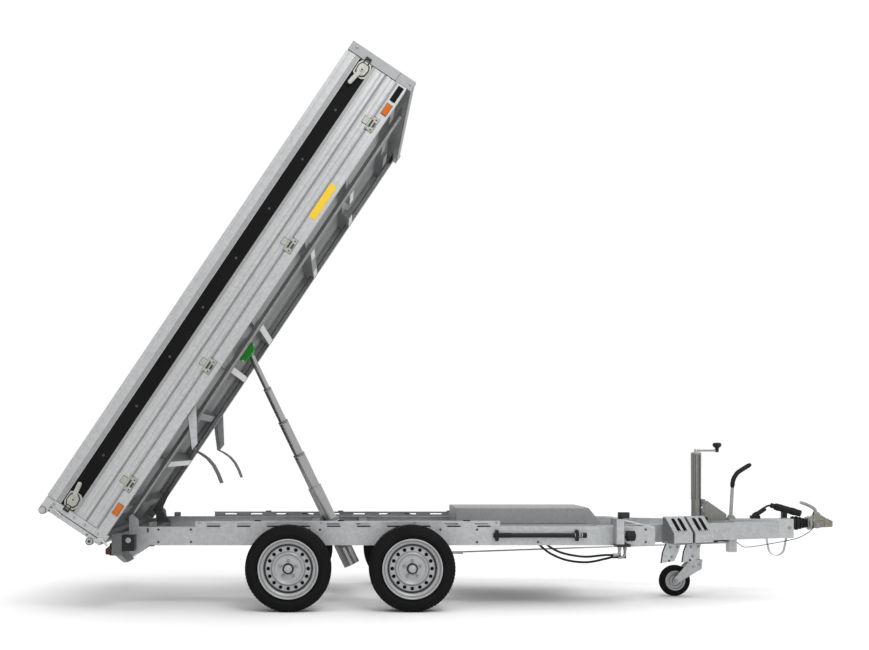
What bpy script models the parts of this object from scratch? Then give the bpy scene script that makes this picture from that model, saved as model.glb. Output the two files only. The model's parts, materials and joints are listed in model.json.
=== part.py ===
"""A tandem-axle tipping trailer with its load bed raised.

Stations along the trailer (x) are measured from a datum near the rails' rear ends, y from the
centre line with the left side positive, and z from the ground.  The bed's own pieces are drawn
flat, in a frame that lies on the tipping hinge: a along the bed, y across it and b up from it.
The empty "trailer" then carries everything to the middle of the space the trailer takes.
"""

import math

import bmesh
import bpy
from mathutils import Vector

# Clearances
GAP = 0.0003
PIN_PLAY = 0.0006
SWING_GAP = 0.0055

# Tipping hinge and bed angle
HINGE_X = -0.1198
HINGE_Z = 0.5476
TILT = math.radians(56.1)

# Chassis rails: channels with the web outside
RAIL_OUT_Y = 0.6175
RAIL_FLANGE = 0.045
RAIL_WALL = 0.004
RAIL_BOTTOM = 0.388
RAIL_HEIGHT = 0.116
RAIL_FRONT = 3.138
RAIL_TAIL_DROP = 0.083
RAIL_TAIL_LENGTH = 0.130
RAIL_EAR_RISE = 0.033
CROSSBEAM_DEPTH = 0.048

# Slotted upper rails bolted on the chassis rails
UPPER_RAIL_REAR = 0.274
UPPER_RAIL_FRONT = 2.174
UPPER_RAIL_HEIGHT = 0.034
UPPER_RAIL_WALL = 0.003
SLOT_LENGTH = 0.082
SLOT_HEIGHT = 0.008
SLOT_PITCH = 0.185
PAD_STATIONS = (0.664, 1.183, 1.967)
PAD_SIZE = (0.036, 0.030, 0.005)

# Wheels and axles
RIM_LIP_RADIUS = 0.183
TYRE_SECTION = 0.0795
TYRE_RADIUS = RIM_LIP_RADIUS + TYRE_SECTION
TYRE_WIDTH = 0.195
WHEEL_OUT_Y = 0.870
RIM_WALL = 0.006
HUB_RADIUS = 0.048
REAR_AXLE_X = 0.862
AXLE_SPACING = 0.752
AXLE_BEAM = 0.070
AXLE_BEAM_LEAD = 0.155
AXLE_BEAM_Z = 0.325
SPINDLE_RADIUS = 0.018

# Rear lamp beam
LAMP_BEAM_REAR = -0.199
LAMP_BEAM_DEPTH = 0.061
LAMP_BEAM_BOTTOM = 0.345
LAMP_BEAM_TOP = 0.478
LAMP_BEAM_INSET = 0.058
LAMP_BEAM_WALL = 0.004
LAMP_LENGTH = 0.240
LAMP_DEPTH = 0.037
LAMP_BOX_LENGTH = 0.074
LAMP_BOX_WIDTH = 0.090

# Load bed
BED_HALF = 0.930
BED_REAR = -0.1935
BED_FRONT = 3.1585
SIDE_REAR = -0.1175
SIDE_FRONT = 3.0965
RIM_BASE = 0.0395
RIM_TOP = 0.1175
SIDE_TOP = 0.4675
SIDE_THICK = 0.025
RIM_DEPTH = 0.050
BED_WALL = 0.003
DECK_THICK = 0.018
POST_DEPTH = 0.042
POST_BOTTOM = 0.0235
CROSSMEMBER_WIDTH = 0.045
FLAP_STATION = 0.7585
SHALLOW_STATIONS = (0.0585, FLAP_STATION, 2.950)
DEEP_STATIONS = (0.4085, 1.1245, 1.4485, 2.0245, 2.4685)
HEADBOARD_BOTTOM = 0.0125
STRIPE_LOW = 0.2745
STRIPE_HIGH = 0.3725
STRIPE_THICK = 0.004
GROOVE_DEPTH = 0.004
PRESSED_GROOVE_B = 0.1915
PRESSED_GROOVE_HEIGHT = 0.016

# Longerons under the bed
LONGERON_OUT_Y = 0.607
LONGERON_FLANGE = 0.045
LONGERON_WALL = 0.004
LONGERON_BASE = 0.0075
LONGERON_REAR = 0.030
LONGERON_NOSE = 3.020
LONGERON_FRONT = 3.075
HINGE_PLATE = 0.010
HINGE_PLATE_PROUD = 0.006
HINGE_PLATE_FRONT = 0.150
HINGE_PIN_RADIUS = 0.011
HINGE_EAR_RADIUS = 0.028

# Mudflaps: the bend below their hangers, and the reach and drop of the bent sheet
FLAP_BEND = (0.5865, -0.0945)
FLAP_SWEEP = 0.0725
FLAP_DROP = 0.254
FLAP_SAG = 0.035
FLAP_HANGER = 0.030

# Side board hinges
SIDE_HINGE_OUT = 0.008
SIDE_HINGE_B = 0.1135

# Tailgate hinge
GATE_HINGE_A = -0.2045
GATE_HINGE_B = 0.4405
GATE_PIN_RADIUS = 0.012
GATE_EAR_RADIUS = 0.024
GATE_EAR_THICK = 0.008
GATE_BOSS_LENGTH = 0.030
GATE_LOWER_B = 0.1045
GATE_BOTTOM = 0.043

# Crossbeams between the rails
HINGE_BEAM = 0.090
HINGE_BEAM_TOP = 0.470
LIFT_BEAM = 0.055
LIFT_REAR = 0.985
LIFT_FRONT = 1.365
TRAY_REAR = 2.000
TRAY_THICK = 0.004

# Telescopic cylinder: its trunnion on the chassis and its ball seat on the bed
TRUNNION_X = 1.1865
TRUNNION_Z = 0.360
SEAT_A = 1.283
SEAT_B = 0.0245
SEAT_HALF_LENGTH = 0.070
SEAT_HALF_WIDTH = 0.055
BALL_RADIUS = 0.018
BARREL_BELOW = 0.163
BARREL_ABOVE = 0.173
BARREL_RADIUS = 0.055
STAGE_STEP = 0.006
STAGE_PLAY = 0.0006
STAGE_RADII = (0.046, 0.0395, 0.033, 0.0265, 0.020)
TRUNNION_RADIUS = 0.014
CARRIER_Y = 0.078
CARRIER_WALL = 0.008

# Hydraulic cover between the rails
COVER_HALF = 0.240
COVER_REAR = 1.934
COVER_FRONT = 2.764
COVER_TOE = 2.964
COVER_TOP = 0.605
COVER_BOTTOM = 0.500

# Drawbar
LEG_REAR_X = 2.784
LEG_FRONT_X = 4.100
LEG_FRONT_Y = 0.062
LEG_WIDTH = 0.050
LEG_BOTTOM = 0.392
LEG_TOP = 0.506
NOSE_REAR = 3.780
NOSE_FRONT = 4.209
NOSE_HALF = 0.058
NOSE_BOTTOM = 0.393
NOSE_TOP = 0.521

LOOP_X = 4.113
LOOP_HALF = 0.068
LOOP_BOTTOM = 0.272
LOOP_WIDTH = 0.030
LEVER_X = 3.806
PLUG_X = 4.100

# Overrun coupling
SHAFT_Z = 0.490
SHAFT_RADIUS = 0.025
GAITER_LENGTH = 0.105
GAITER_RADIUS = 0.046
COUPLING_TIP = 4.4795

# Jack with its jockey wheel
JACK_X = 3.573
JACK_TUBE_RADIUS = 0.032
JACK_INNER_RADIUS = 0.0255
JACK_TUBE_TOP = 0.961
JACK_TUBE_BOTTOM = 0.380
JACK_MOUNT_TOP = 0.641
CRANK_LENGTH = 0.141
JOCKEY_X = 3.4276
JOCKEY_RADIUS = 0.105
JOCKEY_WIDTH = 0.060
FORK_Y = 0.036
FORK_WALL = 0.006
FORK_TOP = 0.235

# Wheel chocks carried on the right drawbar leg
CHOCK_START = 3.220
CHOCK_LENGTH = 0.160
CHOCK_PITCH = 0.178
CHOCK_TOP = 0.555
CHOCK_BOTTOM = 0.385
CHOCK_DEPTH = 0.130
CHOCK_WALL = 0.004
CHOCK_PLATE_BOTTOM = 0.262

# Hand pump and its handle on the right rail
PUMP_REAR = 2.879
PUMP_FRONT = 2.929
PUMP_OUT_Y = 0.700
PUMP_BOTTOM = 0.397
PUMP_TOP = 0.556
PUMP_BASE = (2.880, 2.968)
PUMP_SOCKET = (2.902, 2.964, 0.540, 0.596)
VALVE_FRONT = 3.006
VALVE_Z = 0.449
VALVE_RADIUS = 0.029
HANDLE_REAR = 2.131
HANDLE_FRONT = 2.708
HANDLE_Z = 0.451
HANDLE_RADIUS = 0.014
HOSE_DIAMETER = 0.014
BREAKAWAY_DIAMETER = 0.005

# Hose elbows: station, y, height of the tail, and the tail's length
HOSE_ELBOWS = (
    (2.945, -0.640, 0.316, 0.040),
    (2.905, -0.670, 0.332, 0.040),
)
TRAY_UNDER = 0.4945
HOSE_ROUTES = (
    (
        (2.880, -0.640, 0.316),
        (2.860, -0.640, 0.3155),
        (2.830, -0.636, 0.307),
        (2.720, -0.620, 0.2835),
        (2.600, -0.600, 0.292),
        (2.500, -0.574, 0.330),
        (2.430, -0.552, 0.385),
        (2.384, -0.545, 0.440),
        (2.375, -0.545, 0.470),
        (2.375, -0.545, TRAY_UNDER),
    ),
    (
        (2.840, -0.670, 0.332),
        (2.820, -0.669, 0.332),
        (2.790, -0.654, 0.328),
        (2.700, -0.630, 0.318),
        (2.600, -0.605, 0.330),
        (2.530, -0.576, 0.352),
        (2.470, -0.552, 0.392),
        (2.430, -0.544, 0.440),
        (2.420, -0.543, 0.470),
        (2.420, -0.543, TRAY_UNDER),
    ),
)
BREAKAWAY_ROUTE = (
    (3.8180, -0.062, 0.374),
    (3.850, -0.064, 0.348),
    (3.8795, -0.066, 0.334),
    (3.963, -0.066, 0.341),
    (4.1297, -0.062, 0.370),
    (4.238, -0.056, 0.394),
    (4.320, -0.046, 0.436),
    (4.352, -0.0365, 0.470),
)

# Brake rod
BRAKE_ROD_Y = 0.090
BRAKE_ROD_RADIUS = 0.005
BRAKE_ROD_REAR_Z = 0.297
BRAKE_ROD_FRONT_X = 3.800
BRAKE_ROD_FRONT_Z = 0.366
BRAKE_BRACKET_BOTTOM = 0.302

# Segments round a full turn
FINE = 26
ROUND = 20
COARSE = 16

WHEEL_IN_Y = WHEEL_OUT_Y - TYRE_WIDTH
RAIL_TOP = RAIL_BOTTOM + RAIL_HEIGHT
RAIL_IN_Y = RAIL_OUT_Y - RAIL_FLANGE
RAIL_REAR = LAMP_BEAM_REAR + LAMP_BEAM_DEPTH + GAP
UPPER_RAIL_TOP = RAIL_TOP + UPPER_RAIL_HEIGHT
RIM_IN_Y = BED_HALF - RIM_DEPTH
BARREL_BORE = STAGE_RADII[0] + STAGE_PLAY
JACK_TUBE_BORE = JACK_INNER_RADIUS + PIN_PLAY
LAMP_BEAM_HALF = BED_HALF - LAMP_BEAM_INSET
LEG_REAR_Y = RAIL_IN_Y - GAP
LEG_SLOPE = (LEG_FRONT_Y - LEG_REAR_Y) / (LEG_FRONT_X - LEG_REAR_X)


def leg_y(x):
    """The outer face of a drawbar leg at a station."""
    return LEG_REAR_Y + LEG_SLOPE * (x - LEG_REAR_X)


def tilted(a, b, angle=TILT):
    """The station and height of a point of the bed at an angle of the bed."""
    return (
        HINGE_X + a * math.cos(angle) - b * math.sin(angle),
        HINGE_Z + a * math.sin(angle) + b * math.cos(angle),
    )


def seat_from_trunnion(angle):
    """Distance and forward lean of the ball seat, seen from the trunnion."""
    x, z = tilted(SEAT_A, SEAT_B, angle)
    return (
        math.hypot(x - TRUNNION_X, z - TRUNNION_Z),
        math.atan2(x - TRUNNION_X, z - TRUNNION_Z),
    )


RAISED_REACH, RAISED_LEAN = seat_from_trunnion(TILT)
LOWERED_REACH, LOWERED_LEAN = seat_from_trunnion(0.0)
STAGE_STROKE = (RAISED_REACH - LOWERED_REACH) / len(STAGE_RADII)

REAR_MOST = tilted(GATE_HINGE_A, GATE_HINGE_B)[0] - GATE_EAR_RADIUS
ORIGIN_X = (REAR_MOST + COUPLING_TIP) / 2

# Material table: name, colour, roughness, metallic
MATERIALS = {
    "galvanised": ((0.55, 0.56, 0.57), 0.45, 0.9),
    "sheet_steel": ((0.60, 0.61, 0.61), 0.5, 0.8),
    "chrome_rod": ((0.72, 0.72, 0.70), 0.2, 1.0),
    "rubber": ((0.02, 0.02, 0.02), 0.8, 0.0),
    "black_plastic": ((0.02, 0.02, 0.022), 0.5, 0.0),
    "rim_silver": ((0.62, 0.63, 0.64), 0.4, 0.7),
    "green_paint": ((0.02, 0.35, 0.05), 0.4, 0.0),
    "black_steel": ((0.03, 0.03, 0.03), 0.5, 0.3),
    "red_lens": ((0.45, 0.02, 0.02), 0.3, 0.0),
    "zinc": ((0.62, 0.62, 0.58), 0.4, 0.9),
}


# Scene and materials

def clear_scene():
    for obj in list(bpy.data.objects):
        bpy.data.objects.remove(obj)


def make_material(name):
    colour, roughness, metallic = MATERIALS[name]
    material = bpy.data.materials.get(name) or bpy.data.materials.new(name)
    material.use_nodes = True
    shader = material.node_tree.nodes["Principled BSDF"]
    shader.inputs["Base Color"].default_value = (*colour, 1.0)
    shader.inputs["Roughness"].default_value = roughness
    shader.inputs["Metallic"].default_value = metallic
    return material


def empty(name, parent=None, location=(0, 0, 0), turn_y=0.0):
    obj = bpy.data.objects.new(name, None)
    bpy.context.scene.collection.objects.link(obj)
    obj.location = location
    obj.rotation_euler = (0.0, turn_y, 0.0)
    obj.parent = parent
    return obj


# Shapes

def place(plane, u, v, w):
    """A point of a drawing plane, with w along the plane's normal."""
    if plane == "xz":
        return Vector((u, w, v))
    if plane == "xy":
        return Vector((u, v, w))
    return Vector((w, u, v))


def prism(plane, outline, low, high):
    """An outline in a plane, drawn out from low to high along the third axis."""
    bm = bmesh.new()
    first = [bm.verts.new(place(plane, u, v, low)) for u, v in outline]
    last = [bm.verts.new(place(plane, u, v, high)) for u, v in outline]
    bm.faces.new(first)
    bm.faces.new(list(reversed(last)))
    for i in range(len(outline)):
        j = (i + 1) % len(outline)
        bm.faces.new((first[i], last[i], last[j], first[j]))
    bmesh.ops.recalc_face_normals(bm, faces=bm.faces)
    return bm


def box(x0, x1, y0, y1, z0, z1):
    return prism("xy", ((x0, y0), (x1, y0), (x1, y1), (x0, y1)), z0, z1)


def turned(axis, centre, profile, segments=ROUND):
    """A closed profile of (radius, height) turned round an axis through the centre."""
    bm = bmesh.new()
    rings = []
    for radius, height in profile:
        ring = []
        for k in range(segments if radius > 0 else 1):
            turn = 2 * math.pi * (k + 0.5) / segments
            c, s = radius * math.cos(turn), radius * math.sin(turn)
            offset = {"x": (height, c, s), "y": (s, height, c), "z": (c, s, height)}[axis]
            ring.append(bm.verts.new(Vector(centre) + Vector(offset)))
        rings.append(ring)
    count = len(rings)
    for i in range(count):
        one, two = rings[i], rings[(i + 1) % count]
        if len(one) == 1 and len(two) == 1:
            continue
        for k in range(segments):
            j = (k + 1) % segments
            if len(one) == 1:
                bm.faces.new((one[0], two[j], two[k]))
            elif len(two) == 1:
                bm.faces.new((one[k], one[j], two[0]))
            else:
                bm.faces.new((one[k], one[j], two[j], two[k]))
    bmesh.ops.recalc_face_normals(bm, faces=bm.faces)
    return bm


def rod(axis, centre, radius, low, high, segments=ROUND):
    return turned(axis, centre, ((0, low), (radius, low), (radius, high), (0, high)), segments)


def tube(axis, centre, radius, bore, low, high, segments=ROUND):
    profile = ((bore, low), (radius, low), (radius, high), (bore, high))
    return turned(axis, centre, profile, segments)


def bar(start, end, radius, segments=12):
    """A round bar between two points."""
    start, end = Vector(start), Vector(end)
    along = end - start
    bm = rod("z", (0, 0, 0), radius, 0.0, along.length, segments)
    turn = Vector((0, 0, 1)).rotation_difference(along.normalized()).to_matrix().to_4x4()
    bmesh.ops.transform(bm, matrix=turn, verts=bm.verts)
    bmesh.ops.translate(bm, vec=start, verts=bm.verts)
    return bm


def strip(points, thickness):
    """The outline of a bent sheet whose middle line is given, in its own plane."""
    left, right = [], []
    for i, point in enumerate(points):
        before = Vector(points[max(i - 1, 0)])
        after = Vector(points[min(i + 1, len(points) - 1)])
        along = (after - before).normalized()
        normal = Vector((-along.y, along.x)) * thickness / 2
        left.append(tuple(Vector(point) + normal))
        right.append(tuple(Vector(point) - normal))
    return left + right[::-1]


def gathered(*parts):
    """Several meshes as one."""
    whole = bmesh.new()
    for part in parts:
        mesh = bpy.data.meshes.new("part")
        part.to_mesh(mesh)
        part.free()
        whole.from_mesh(mesh)
        bpy.data.meshes.remove(mesh)
    return whole


def new_object(name, bm, material, parent, smooth=False):
    mesh = bpy.data.meshes.new(name)
    bm.to_mesh(mesh)
    bm.free()
    if material:
        mesh.materials.append(make_material(material))
    if smooth:
        mesh.shade_smooth()
        mesh.set_sharp_from_angle(angle=math.radians(35))
    obj = bpy.data.objects.new(name, mesh)
    bpy.context.scene.collection.objects.link(obj)
    obj.parent = parent
    return obj


def combine(obj, operation, parts):
    """Cut the parts out of an object, or fuse them to it."""
    for index, part in enumerate(parts):
        helper = new_object(f"{obj.name}_{operation.lower()}_{index}", part, None, obj.parent)
        helper.location = obj.location
        helper.hide_render = True
        helper.display_type = "WIRE"
        modifier = obj.modifiers.new(f"{operation} {index}", "BOOLEAN")
        modifier.operation = operation
        modifier.solver = "EXACT"
        modifier.object = helper
    return obj


def cut(obj, *parts):
    return combine(obj, "DIFFERENCE", parts)


def fuse(obj, *parts):
    return combine(obj, "UNION", parts)


def across(side, inner, outer):
    """The two y values of something between two distances from the centre line."""
    return (inner, outer) if side > 0 else (-outer, -inner)


SIDES = (("left", 1), ("right", -1))


# Chassis

def chassis_rail(trailer, label, side):
    """A channel with its web outside, whose web drops to the lamp beam at the rear."""
    tail = RAIL_REAR + RAIL_TAIL_LENGTH
    outline = (
        (RAIL_REAR, RAIL_BOTTOM - RAIL_TAIL_DROP),
        (tail, RAIL_BOTTOM),
        (RAIL_FRONT, RAIL_BOTTOM),
        (RAIL_FRONT, RAIL_TOP),
        (RAIL_REAR, RAIL_TOP),
    )
    inner = RAIL_IN_Y
    rail = new_object(
        f"chassis_rail_{label}",
        prism("xz", outline, *across(side, inner, RAIL_OUT_Y)),
        "galvanised",
        trailer,
    )
    hollow = box(
        RAIL_REAR - RAIL_WALL,
        RAIL_FRONT - RAIL_WALL,
        *across(side, inner - RAIL_WALL, RAIL_OUT_Y - RAIL_WALL),
        RAIL_BOTTOM + RAIL_WALL,
        RAIL_TOP - RAIL_WALL,
    )
    cut(rail, hollow)
    web_top = RAIL_TOP - RAIL_WALL / 2
    ear = (
        (RAIL_REAR, web_top),
        (RAIL_REAR, HINGE_Z + 0.6 * RAIL_EAR_RISE),
        (RAIL_REAR + 0.4 * RAIL_EAR_RISE, HINGE_Z + RAIL_EAR_RISE),
        (HINGE_X + 0.3 * RAIL_EAR_RISE, HINGE_Z + RAIL_EAR_RISE),
        (HINGE_X + 1.2 * RAIL_EAR_RISE, HINGE_Z),
        (HINGE_X + 1.4 * RAIL_EAR_RISE, web_top),
    )
    fuse(rail, prism("xz", ear, *across(side, RAIL_OUT_Y - RAIL_WALL, RAIL_OUT_Y)))
    upper_rail(rail, side)


def upper_rail(rail, side):
    """The slotted channel on top of a chassis rail, with its pads, fused to the rail."""
    base = RAIL_TOP
    body = box(
        UPPER_RAIL_REAR,
        UPPER_RAIL_FRONT,
        *across(side, RAIL_IN_Y, RAIL_OUT_Y),
        base - RAIL_WALL / 2,
        UPPER_RAIL_TOP,
    )
    length, width, height = PAD_SIZE
    y = side * (RAIL_OUT_Y - RAIL_FLANGE / 2)
    pads = [
        box(
            station - length / 2,
            station + length / 2,
            y - width / 2,
            y + width / 2,
            UPPER_RAIL_TOP - UPPER_RAIL_WALL / 2,
            UPPER_RAIL_TOP + height,
        )
        for station in PAD_STATIONS
    ]
    end_plate = box(
        RAIL_FRONT - CROSSBEAM_DEPTH,
        RAIL_FRONT,
        *across(side, leg_y(RAIL_FRONT - CROSSBEAM_DEPTH) + GAP, RAIL_OUT_Y),
        RAIL_BOTTOM,
        RAIL_TOP,
    )
    fuse(rail, body, gathered(*pads), end_plate)
    hollow = box(
        UPPER_RAIL_REAR - RAIL_WALL,
        UPPER_RAIL_FRONT + RAIL_WALL,
        *across(side, RAIL_IN_Y - RAIL_WALL, RAIL_OUT_Y - UPPER_RAIL_WALL),
        base + UPPER_RAIL_WALL,
        UPPER_RAIL_TOP - UPPER_RAIL_WALL,
    )
    slots = []
    middle = (base + UPPER_RAIL_TOP) / 2
    count = int((UPPER_RAIL_FRONT - UPPER_RAIL_REAR - SLOT_LENGTH) / SLOT_PITCH) + 1
    first = (UPPER_RAIL_REAR + UPPER_RAIL_FRONT - (count - 1) * SLOT_PITCH) / 2
    for k in range(count):
        centre = first + k * SLOT_PITCH
        slots.append(
            box(
                centre - SLOT_LENGTH / 2,
                centre + SLOT_LENGTH / 2,
                *across(side, RAIL_OUT_Y - 2 * UPPER_RAIL_WALL, RAIL_OUT_Y + UPPER_RAIL_WALL),
                middle - SLOT_HEIGHT / 2,
                middle + SLOT_HEIGHT / 2,
            )
        )
    cut(rail, hollow, gathered(*slots))


BEAM_BOTTOM = RAIL_BOTTOM + RAIL_WALL + GAP
BEAM_TOP = RAIL_TOP - RAIL_WALL - GAP
BEAM_HALF = RAIL_OUT_Y - RAIL_WALL - GAP


def hinge_crossbeam(trailer):
    """The rear beam between the rails, with the ears and pins that carry the bed."""
    rear = RAIL_REAR + GAP
    front = rear + HINGE_BEAM
    beam = new_object(
        "hinge_crossbeam",
        box(rear, front, -BEAM_HALF, BEAM_HALF, BEAM_BOTTOM, HINGE_BEAM_TOP),
        "galvanised",
        trailer,
    )
    plate_in = LONGERON_OUT_Y - LONGERON_FLANGE - HINGE_PLATE_PROUD
    inner, outer = plate_in - 0.018, plate_in - 0.008
    outline = [(rear, HINGE_BEAM_TOP - 0.005), (front, HINGE_BEAM_TOP - 0.005)]
    for k in range(9):
        turn = math.pi * k / 8
        outline.append(
            (
                HINGE_X + HINGE_EAR_RADIUS * math.cos(turn),
                HINGE_Z + HINGE_EAR_RADIUS * math.sin(turn),
            )
        )
    outline.append((rear, LAMP_BEAM_TOP + SWING_GAP))
    ears = [prism("xz", outline, *across(side, inner, outer)) for label, side in SIDES]
    pins = [
        rod("y", (HINGE_X, 0, HINGE_Z), HINGE_PIN_RADIUS, *across(side, inner + 0.002, RAIL_IN_Y - GAP))
        for label, side in SIDES
    ]
    fuse(beam, gathered(*ears), gathered(*pins))


def lift_cradle(trailer):
    """The two beams and the plates between them that hold the cylinder's trunnions."""
    rear_beam = new_object(
        "lift_crossbeam",
        box(LIFT_REAR, LIFT_REAR + LIFT_BEAM, -BEAM_HALF, BEAM_HALF, BEAM_BOTTOM, BEAM_TOP),
        "galvanised",
        trailer,
    )
    cradle = new_object(
        "lift_cradle",
        box(LIFT_FRONT - LIFT_BEAM, LIFT_FRONT, -BEAM_HALF, BEAM_HALF, BEAM_BOTTOM, BEAM_TOP),
        "galvanised",
        trailer,
    )
    rear = LIFT_REAR + LIFT_BEAM + GAP
    front = LIFT_FRONT - LIFT_BEAM + 0.004
    shoulder = BEAM_BOTTOM + 0.030
    outline = [(rear, BEAM_TOP), (rear, shoulder)]
    for k in range(9):
        turn = math.pi + math.pi * k / 8
        outline.append(
            (TRUNNION_X + 0.034 * math.cos(turn), TRUNNION_Z + 0.030 * math.sin(turn))
        )
    outline += [(front, shoulder), (front, BEAM_TOP)]
    for label, side in SIDES:
        y0, y1 = across(side, CARRIER_Y, CARRIER_Y + CARRIER_WALL)
        fuse(cradle, prism("xz", outline, y0, y1))
    reach = CARRIER_Y + CARRIER_WALL + 0.01
    cut(cradle, rod("y", (TRUNNION_X, 0, TRUNNION_Z), TRUNNION_RADIUS + PIN_PLAY, -reach, reach))


def cover_tray(trailer):
    """The middle beam with the tray on it that carries the hydraulic cover."""
    beam = new_object(
        "cover_tray",
        box(TRAY_REAR, TRAY_REAR + LIFT_BEAM, -BEAM_HALF, BEAM_HALF, BEAM_BOTTOM, BEAM_TOP),
        "galvanised",
        trailer,
    )
    top = COVER_BOTTOM - GAP
    half = RAIL_IN_Y - GAP
    fuse(beam, box(TRAY_REAR, LEG_REAR_X - GAP, -half, half, top - TRAY_THICK, top))


def front_crossbeam(trailer):
    """The beam between the drawbar legs at the front ends of the rails."""
    rear, front = RAIL_FRONT - CROSSBEAM_DEPTH, RAIL_FRONT
    y_rear, y_front = leg_y(rear) - LEG_WIDTH - GAP, leg_y(front) - LEG_WIDTH - GAP
    outline = ((rear, -y_rear), (front, -y_front), (front, y_front), (rear, y_rear))
    new_object("front_crossbeam", prism("xy", outline, LEG_BOTTOM, RAIL_TOP), "galvanised", trailer)


def lamp_beam(trailer):
    """The beam across the rear, with a skirt, and a lamp and its side box at each end."""
    front = LAMP_BEAM_REAR + LAMP_BEAM_DEPTH
    beam = new_object(
        "lamp_beam",
        box(LAMP_BEAM_REAR, front, -LAMP_BEAM_HALF, LAMP_BEAM_HALF, LAMP_BEAM_BOTTOM, LAMP_BEAM_TOP),
        "galvanised",
        trailer,
    )
    wall = LAMP_BEAM_WALL
    hollow = box(
        LAMP_BEAM_REAR + wall,
        front - wall,
        -LAMP_BEAM_HALF - wall,
        LAMP_BEAM_HALF + wall,
        LAMP_BEAM_BOTTOM + wall,
        LAMP_BEAM_TOP - wall,
    )
    cut(beam, hollow)
    skirt = (
        (front - 0.040, LAMP_BEAM_BOTTOM + wall / 2),
        (front, LAMP_BEAM_BOTTOM + wall / 2),
        (front + 0.036, LAMP_BEAM_BOTTOM - 0.040),
        (front + 0.010, LAMP_BEAM_BOTTOM - 0.040),
    )
    skirts = [
        prism("xz", skirt, *across(side, RAIL_OUT_Y + 0.004, LAMP_BEAM_HALF)) for label, side in SIDES
    ]
    fuse(beam, gathered(*skirts))
    lens = (
        (LAMP_BEAM_REAR - GAP, LAMP_BEAM_BOTTOM + 0.070),
        (LAMP_BEAM_REAR - GAP, LAMP_BEAM_BOTTOM + 0.004),
        (LAMP_BEAM_REAR - LAMP_DEPTH, LAMP_BEAM_BOTTOM + 0.008),
        (LAMP_BEAM_REAR - LAMP_DEPTH, LAMP_BEAM_BOTTOM + 0.040),
    )
    for label, side in SIDES:
        new_object(
            f"tail_lamp_{label}",
            prism("xz", lens, *across(side, LAMP_BEAM_HALF - LAMP_LENGTH, LAMP_BEAM_HALF)),
            "red_lens",
            trailer,
        )
    boxes = [
        box(
            front - wall / 2,
            front + LAMP_BOX_LENGTH,
            *across(side, LAMP_BEAM_HALF - LAMP_BOX_WIDTH, LAMP_BEAM_HALF),
            LAMP_BEAM_BOTTOM + 0.030,
            LAMP_BEAM_TOP - 0.012,
        )
        for label, side in SIDES
    ]
    fuse(beam, gathered(*boxes))


# Wheels and axles

def axle(trailer, name, hub_x):
    """A rubber-sprung axle: a beam, two trailing arms and their spindles."""
    half = RAIL_OUT_Y - 0.02
    beam_x = hub_x + AXLE_BEAM_LEAD
    r = AXLE_BEAM / 2
    beam = new_object(
        name,
        box(beam_x - r, beam_x + r, -half, half, AXLE_BEAM_Z - r, RAIL_BOTTOM - GAP),
        "galvanised",
        trailer,
    )
    parts = []
    for label, side in SIDES:
        arm = (
            (beam_x + 0.030, AXLE_BEAM_Z - 0.030),
            (beam_x + 0.030, AXLE_BEAM_Z + 0.030),
            (hub_x - 0.020, TYRE_RADIUS + 0.032),
            (hub_x - 0.032, TYRE_RADIUS),
            (hub_x - 0.020, TYRE_RADIUS - 0.032),
        )
        parts.append(prism("xz", arm, *across(side, half - 0.004, half + 0.026)))
        parts.append(
            turned(
                "y",
                (hub_x, 0, TYRE_RADIUS),
                (
                    (0, side * (half + 0.010)),
                    (0.100, side * (half + 0.010)),
                    (0.100, side * (WHEEL_IN_Y + 0.040)),
                    (SPINDLE_RADIUS, side * (WHEEL_IN_Y + 0.040)),
                    (SPINDLE_RADIUS, side * (WHEEL_OUT_Y - 0.046)),
                    (0, side * (WHEEL_OUT_Y - 0.046)),
                ),
                COARSE,
            )
        )
    return fuse(beam, *parts)


def wheel(trailer, label, side, hub_x):
    """A tyre and its dished rim, turned round the hub."""
    hub = empty(f"hub_{label}", trailer, (hub_x, side * WHEEL_OUT_Y, TYRE_RADIUS))
    inward = -side
    tread = TYRE_RADIUS
    bead = RIM_LIP_RADIUS - 0.012
    shoulder = 0.022
    tyre_profile = (
        (bead, 0.030),
        (RIM_LIP_RADIUS + 0.006, 0.012),
        (RIM_LIP_RADIUS + 0.030, 0.002),
        (tread - shoulder, 0.008),
        (tread - 0.006, shoulder),
        (tread, 0.042),
        (tread, TYRE_WIDTH - 0.042),
        (tread - 0.006, TYRE_WIDTH - shoulder),
        (tread - shoulder, TYRE_WIDTH - 0.008),
        (RIM_LIP_RADIUS + 0.030, TYRE_WIDTH - 0.002),
        (RIM_LIP_RADIUS + 0.006, TYRE_WIDTH - 0.012),
        (bead, TYRE_WIDTH - 0.030),
    )
    new_object(
        f"tyre_{label}",
        turned("y", (0, 0, 0), [(r, inward * h) for r, h in tyre_profile], FINE),
        "rubber",
        hub,
        smooth=True,
    )
    well = bead - GAP * 2
    disc = 0.060
    rim_profile = (
        (RIM_LIP_RADIUS, 0.004),
        (RIM_LIP_RADIUS, 0.0085),
        (well, 0.026),
        (well, TYRE_WIDTH - 0.024),
        (well - RIM_WALL, TYRE_WIDTH - 0.024),
        (well - RIM_WALL, disc + 0.004),
        (SPINDLE_RADIUS + PIN_PLAY, disc - 0.002),
        (SPINDLE_RADIUS + PIN_PLAY, disc - 0.010),
        (HUB_RADIUS, disc - 0.018),
        (0.090, disc - 0.022),
        (0.112, disc - 0.008),
        (0.144, disc - 0.004),
        (well - RIM_WALL, 0.022),
        (RIM_LIP_RADIUS - 0.010, 0.004),
    )
    new_object(
        f"rim_{label}",
        turned("y", (0, 0, 0), [(r, inward * h) for r, h in rim_profile], FINE),
        "rim_silver",
        hub,
        smooth=True,
    )


# Bed

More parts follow.
